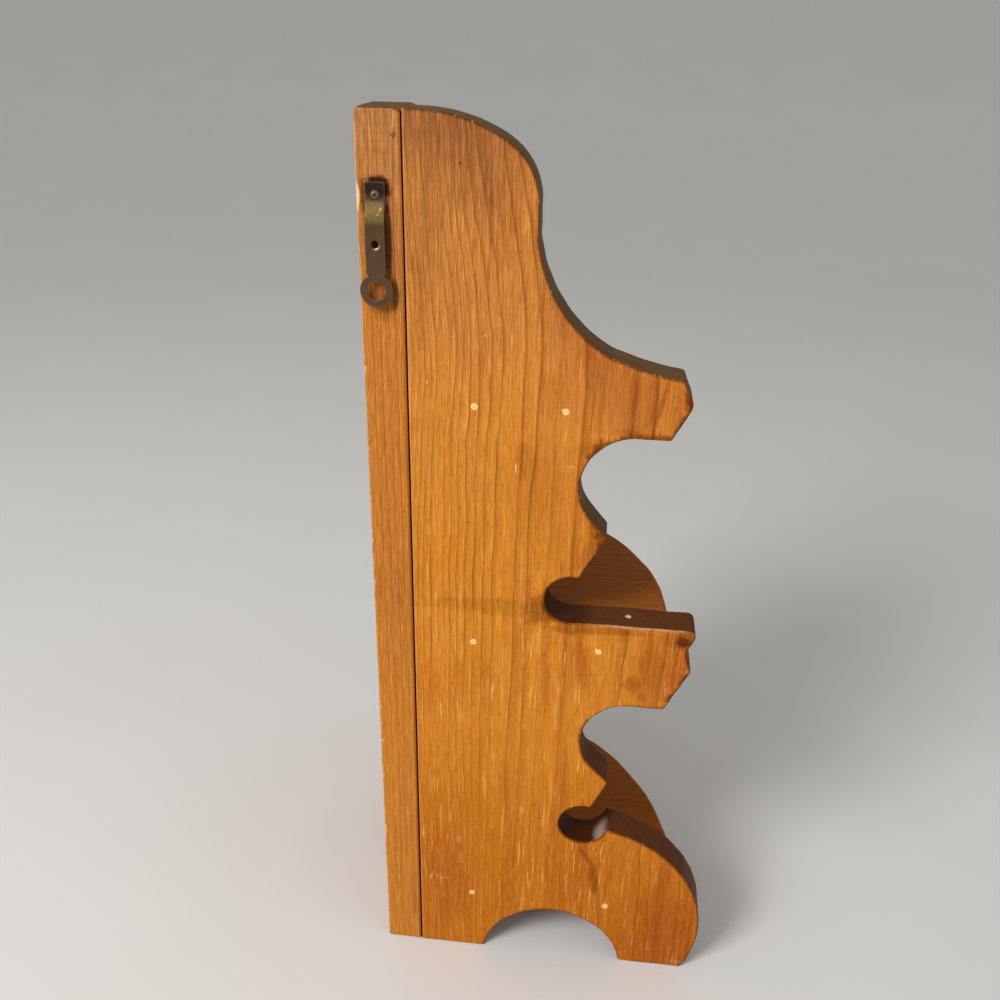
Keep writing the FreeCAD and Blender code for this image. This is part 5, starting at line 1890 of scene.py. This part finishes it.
class CORNERSHELF_OT_nails(bpy.types.Operator):
    """Give the hidden nails their bright drawn steel"""

    bl_idname = "corner_shelf.nails"
    bl_label = "Nails"

    def execute(self, context):
        steel = tuple(context.scene.corner_shelf.filler.nail_steel)
        dull = tuple(0.3 * part for part in steel)
        material = metal_material("nail_wire", steel, dull, steel, [], 0.25)
        for name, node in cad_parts.items():
            if name.endswith("_nails"):
                node.data.materials.clear()
                node.data.materials.append(material)
        return {"FINISHED"}


class CORNERSHELF_OT_filler(bpy.types.Operator):
    """Fill the nail holes"""

    bl_idname = "corner_shelf.filler"
    bl_label = "Nail filler"

    def execute(self, context):
        material = filler_material(context.scene.corner_shelf.filler)
        for side in SIDES:
            build_filler(side, context.scene.corner_shelf, material)
        return {"FINISHED"}


class CORNERSHELF_OT_hanger(bpy.types.Operator):
    """Build the strap hanger and the screw that it swings on"""

    bl_idname = "corner_shelf.hanger"
    bl_label = "Strap hanger"

    def execute(self, context):
        build_strap(context.scene.corner_shelf)
        build_screw(context.scene.corner_shelf)
        return {"FINISHED"}


class CORNERSHELF_OT_stage(bpy.types.Operator):
    """Set up the floor, the soft light and the camera"""

    bl_idname = "corner_shelf.stage"
    bl_label = "Stage"

    def execute(self, context):
        stage = context.scene.corner_shelf.stage
        build_floor(stage)
        build_light(stage)
        build_camera(stage)
        context.scene.view_settings.view_transform = "Standard"
        return {"FINISHED"}


# Floor: half its width, points along a side, radius of its level part, and its rise beyond that
FLOOR_HALF = 6.0
FLOOR_POINTS = 121
FLOOR_LEVEL = 1.6
FLOOR_RISE = 0.108
# Lamps: width, and place in metres from the middle of the shelf's foot
KEY_LAMP = (0.6, (-0.9, -1.1, 1.25))
FILL_LAMP = (1.2, (1.3, -0.7, 0.8))
# Nearest distance that the camera shows, in metres
NEAR_CLIP = 0.01


def build_floor(stage):
    """Floor that rises gently all round into a backdrop.

    It is level near the shelf, and further out its height grows as the square of the distance.
    """
    step = np.linspace(-FLOOR_HALF, FLOOR_HALF, FLOOR_POINTS)
    spots = np.stack(np.meshgrid(step, step), -1).reshape(-1, 2)
    beyond = np.maximum(np.linalg.norm(spots, axis=1) - FLOOR_LEVEL, 0)
    points = np.column_stack([spots, FLOOR_RISE * beyond ** 2])
    mesh = bpy.data.meshes.new("floor_sweep")
    mesh.from_pydata(points.tolist(), [], grid_faces(FLOOR_POINTS, FLOOR_POINTS, False).tolist())
    mesh.shade_smooth()
    mesh.materials.append(floor_material(stage.floor))
    new_object("floor_sweep", mesh)


def add_lamp(name, power, size, place, target):
    """A square soft lamp that points at a target."""
    lamp = bpy.data.lights.new(name, "AREA")
    lamp.energy = power
    lamp.size = size
    holder = new_object(name, lamp)
    holder.location = place
    holder.rotation_euler = (Vector(target) - Vector(place)).to_track_quat("-Z", "Y").to_euler()


def build_light(stage):
    """Large soft key lamp at the upper left in front, weak fill on the right, and an even sky."""
    target = (0, 0, PANEL_HEIGHT / 2)
    add_lamp("key_lamp", stage.key_power, *KEY_LAMP, target)
    add_lamp("fill_lamp", stage.fill_power, *FILL_LAMP, target)
    world = bpy.data.worlds.new("even_sky")
    world.use_nodes = True
    background = world.node_tree.nodes["Background"]
    background.inputs["Color"].default_value = (1.0, 1.0, 1.0, 1)
    background.inputs["Strength"].default_value = stage.sky
    bpy.context.scene.world = world


def build_camera(stage):
    """Camera at the photograph's place, turned by its yaw, pitch and roll."""
    camera = bpy.data.cameras.new("photo_camera")
    camera.lens, camera.sensor_width = stage.lens, stage.sensor
    camera.clip_start = NEAR_CLIP
    holder = new_object("photo_camera", camera)
    level = Matrix.Rotation(stage.yaw, 4, "Z") @ Matrix.Rotation(math.pi / 2 - stage.pitch, 4, "X")
    turn = level @ Matrix.Rotation(-stage.roll, 4, "Z")
    holder.matrix_world = Matrix.Translation(Vector(CORNER) + Vector(stage.stand)) @ turn
    bpy.context.scene.camera = holder


STEPS = (CORNERSHELF_OT_stage, CORNERSHELF_OT_side_boards, CORNERSHELF_OT_varnish_run,
         CORNERSHELF_OT_shelves, CORNERSHELF_OT_nails, CORNERSHELF_OT_filler, CORNERSHELF_OT_hanger)


class CORNERSHELF_PT_panel(bpy.types.Panel):
    """Sidebar panel that lists the shelf's pieces"""

    bl_idname = "CORNERSHELF_PT_panel"
    bl_label = "Corner shelf"
    bl_space_type = "VIEW_3D"
    bl_region_type = "UI"
    bl_category = "Corner shelf"

    def draw(self, context):
        for step in STEPS:
            self.layout.operator(step.bl_idname)
        for part in ("boards", "wood", "filler", "hanger", "stage"):
            group = getattr(context.scene.corner_shelf, part)
            column = self.layout.column(heading=part.title())
            for name in group.__annotations__:
                column.prop(group, name)


CLASSES = (BoardSettings, WoodSettings, FillerSettings, HangerSettings, StageSettings,
           CornerShelfSettings, *STEPS, CORNERSHELF_PT_panel)


def register():
    """Add the classes and the scene's settings."""
    for item in CLASSES:
        bpy.utils.register_class(item)
    bpy.types.Scene.corner_shelf = PointerProperty(type=CornerShelfSettings)


def unregister():
    """Take the classes and the scene's settings away again."""
    del bpy.types.Scene.corner_shelf
    for item in reversed(CLASSES):
        bpy.utils.unregister_class(item)


def main():
    """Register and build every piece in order."""
    register()
    for step in STEPS:
        family, name = step.bl_idname.split(".")
        getattr(getattr(bpy.ops, family), name)()


if __name__ == "__main__":
    main()
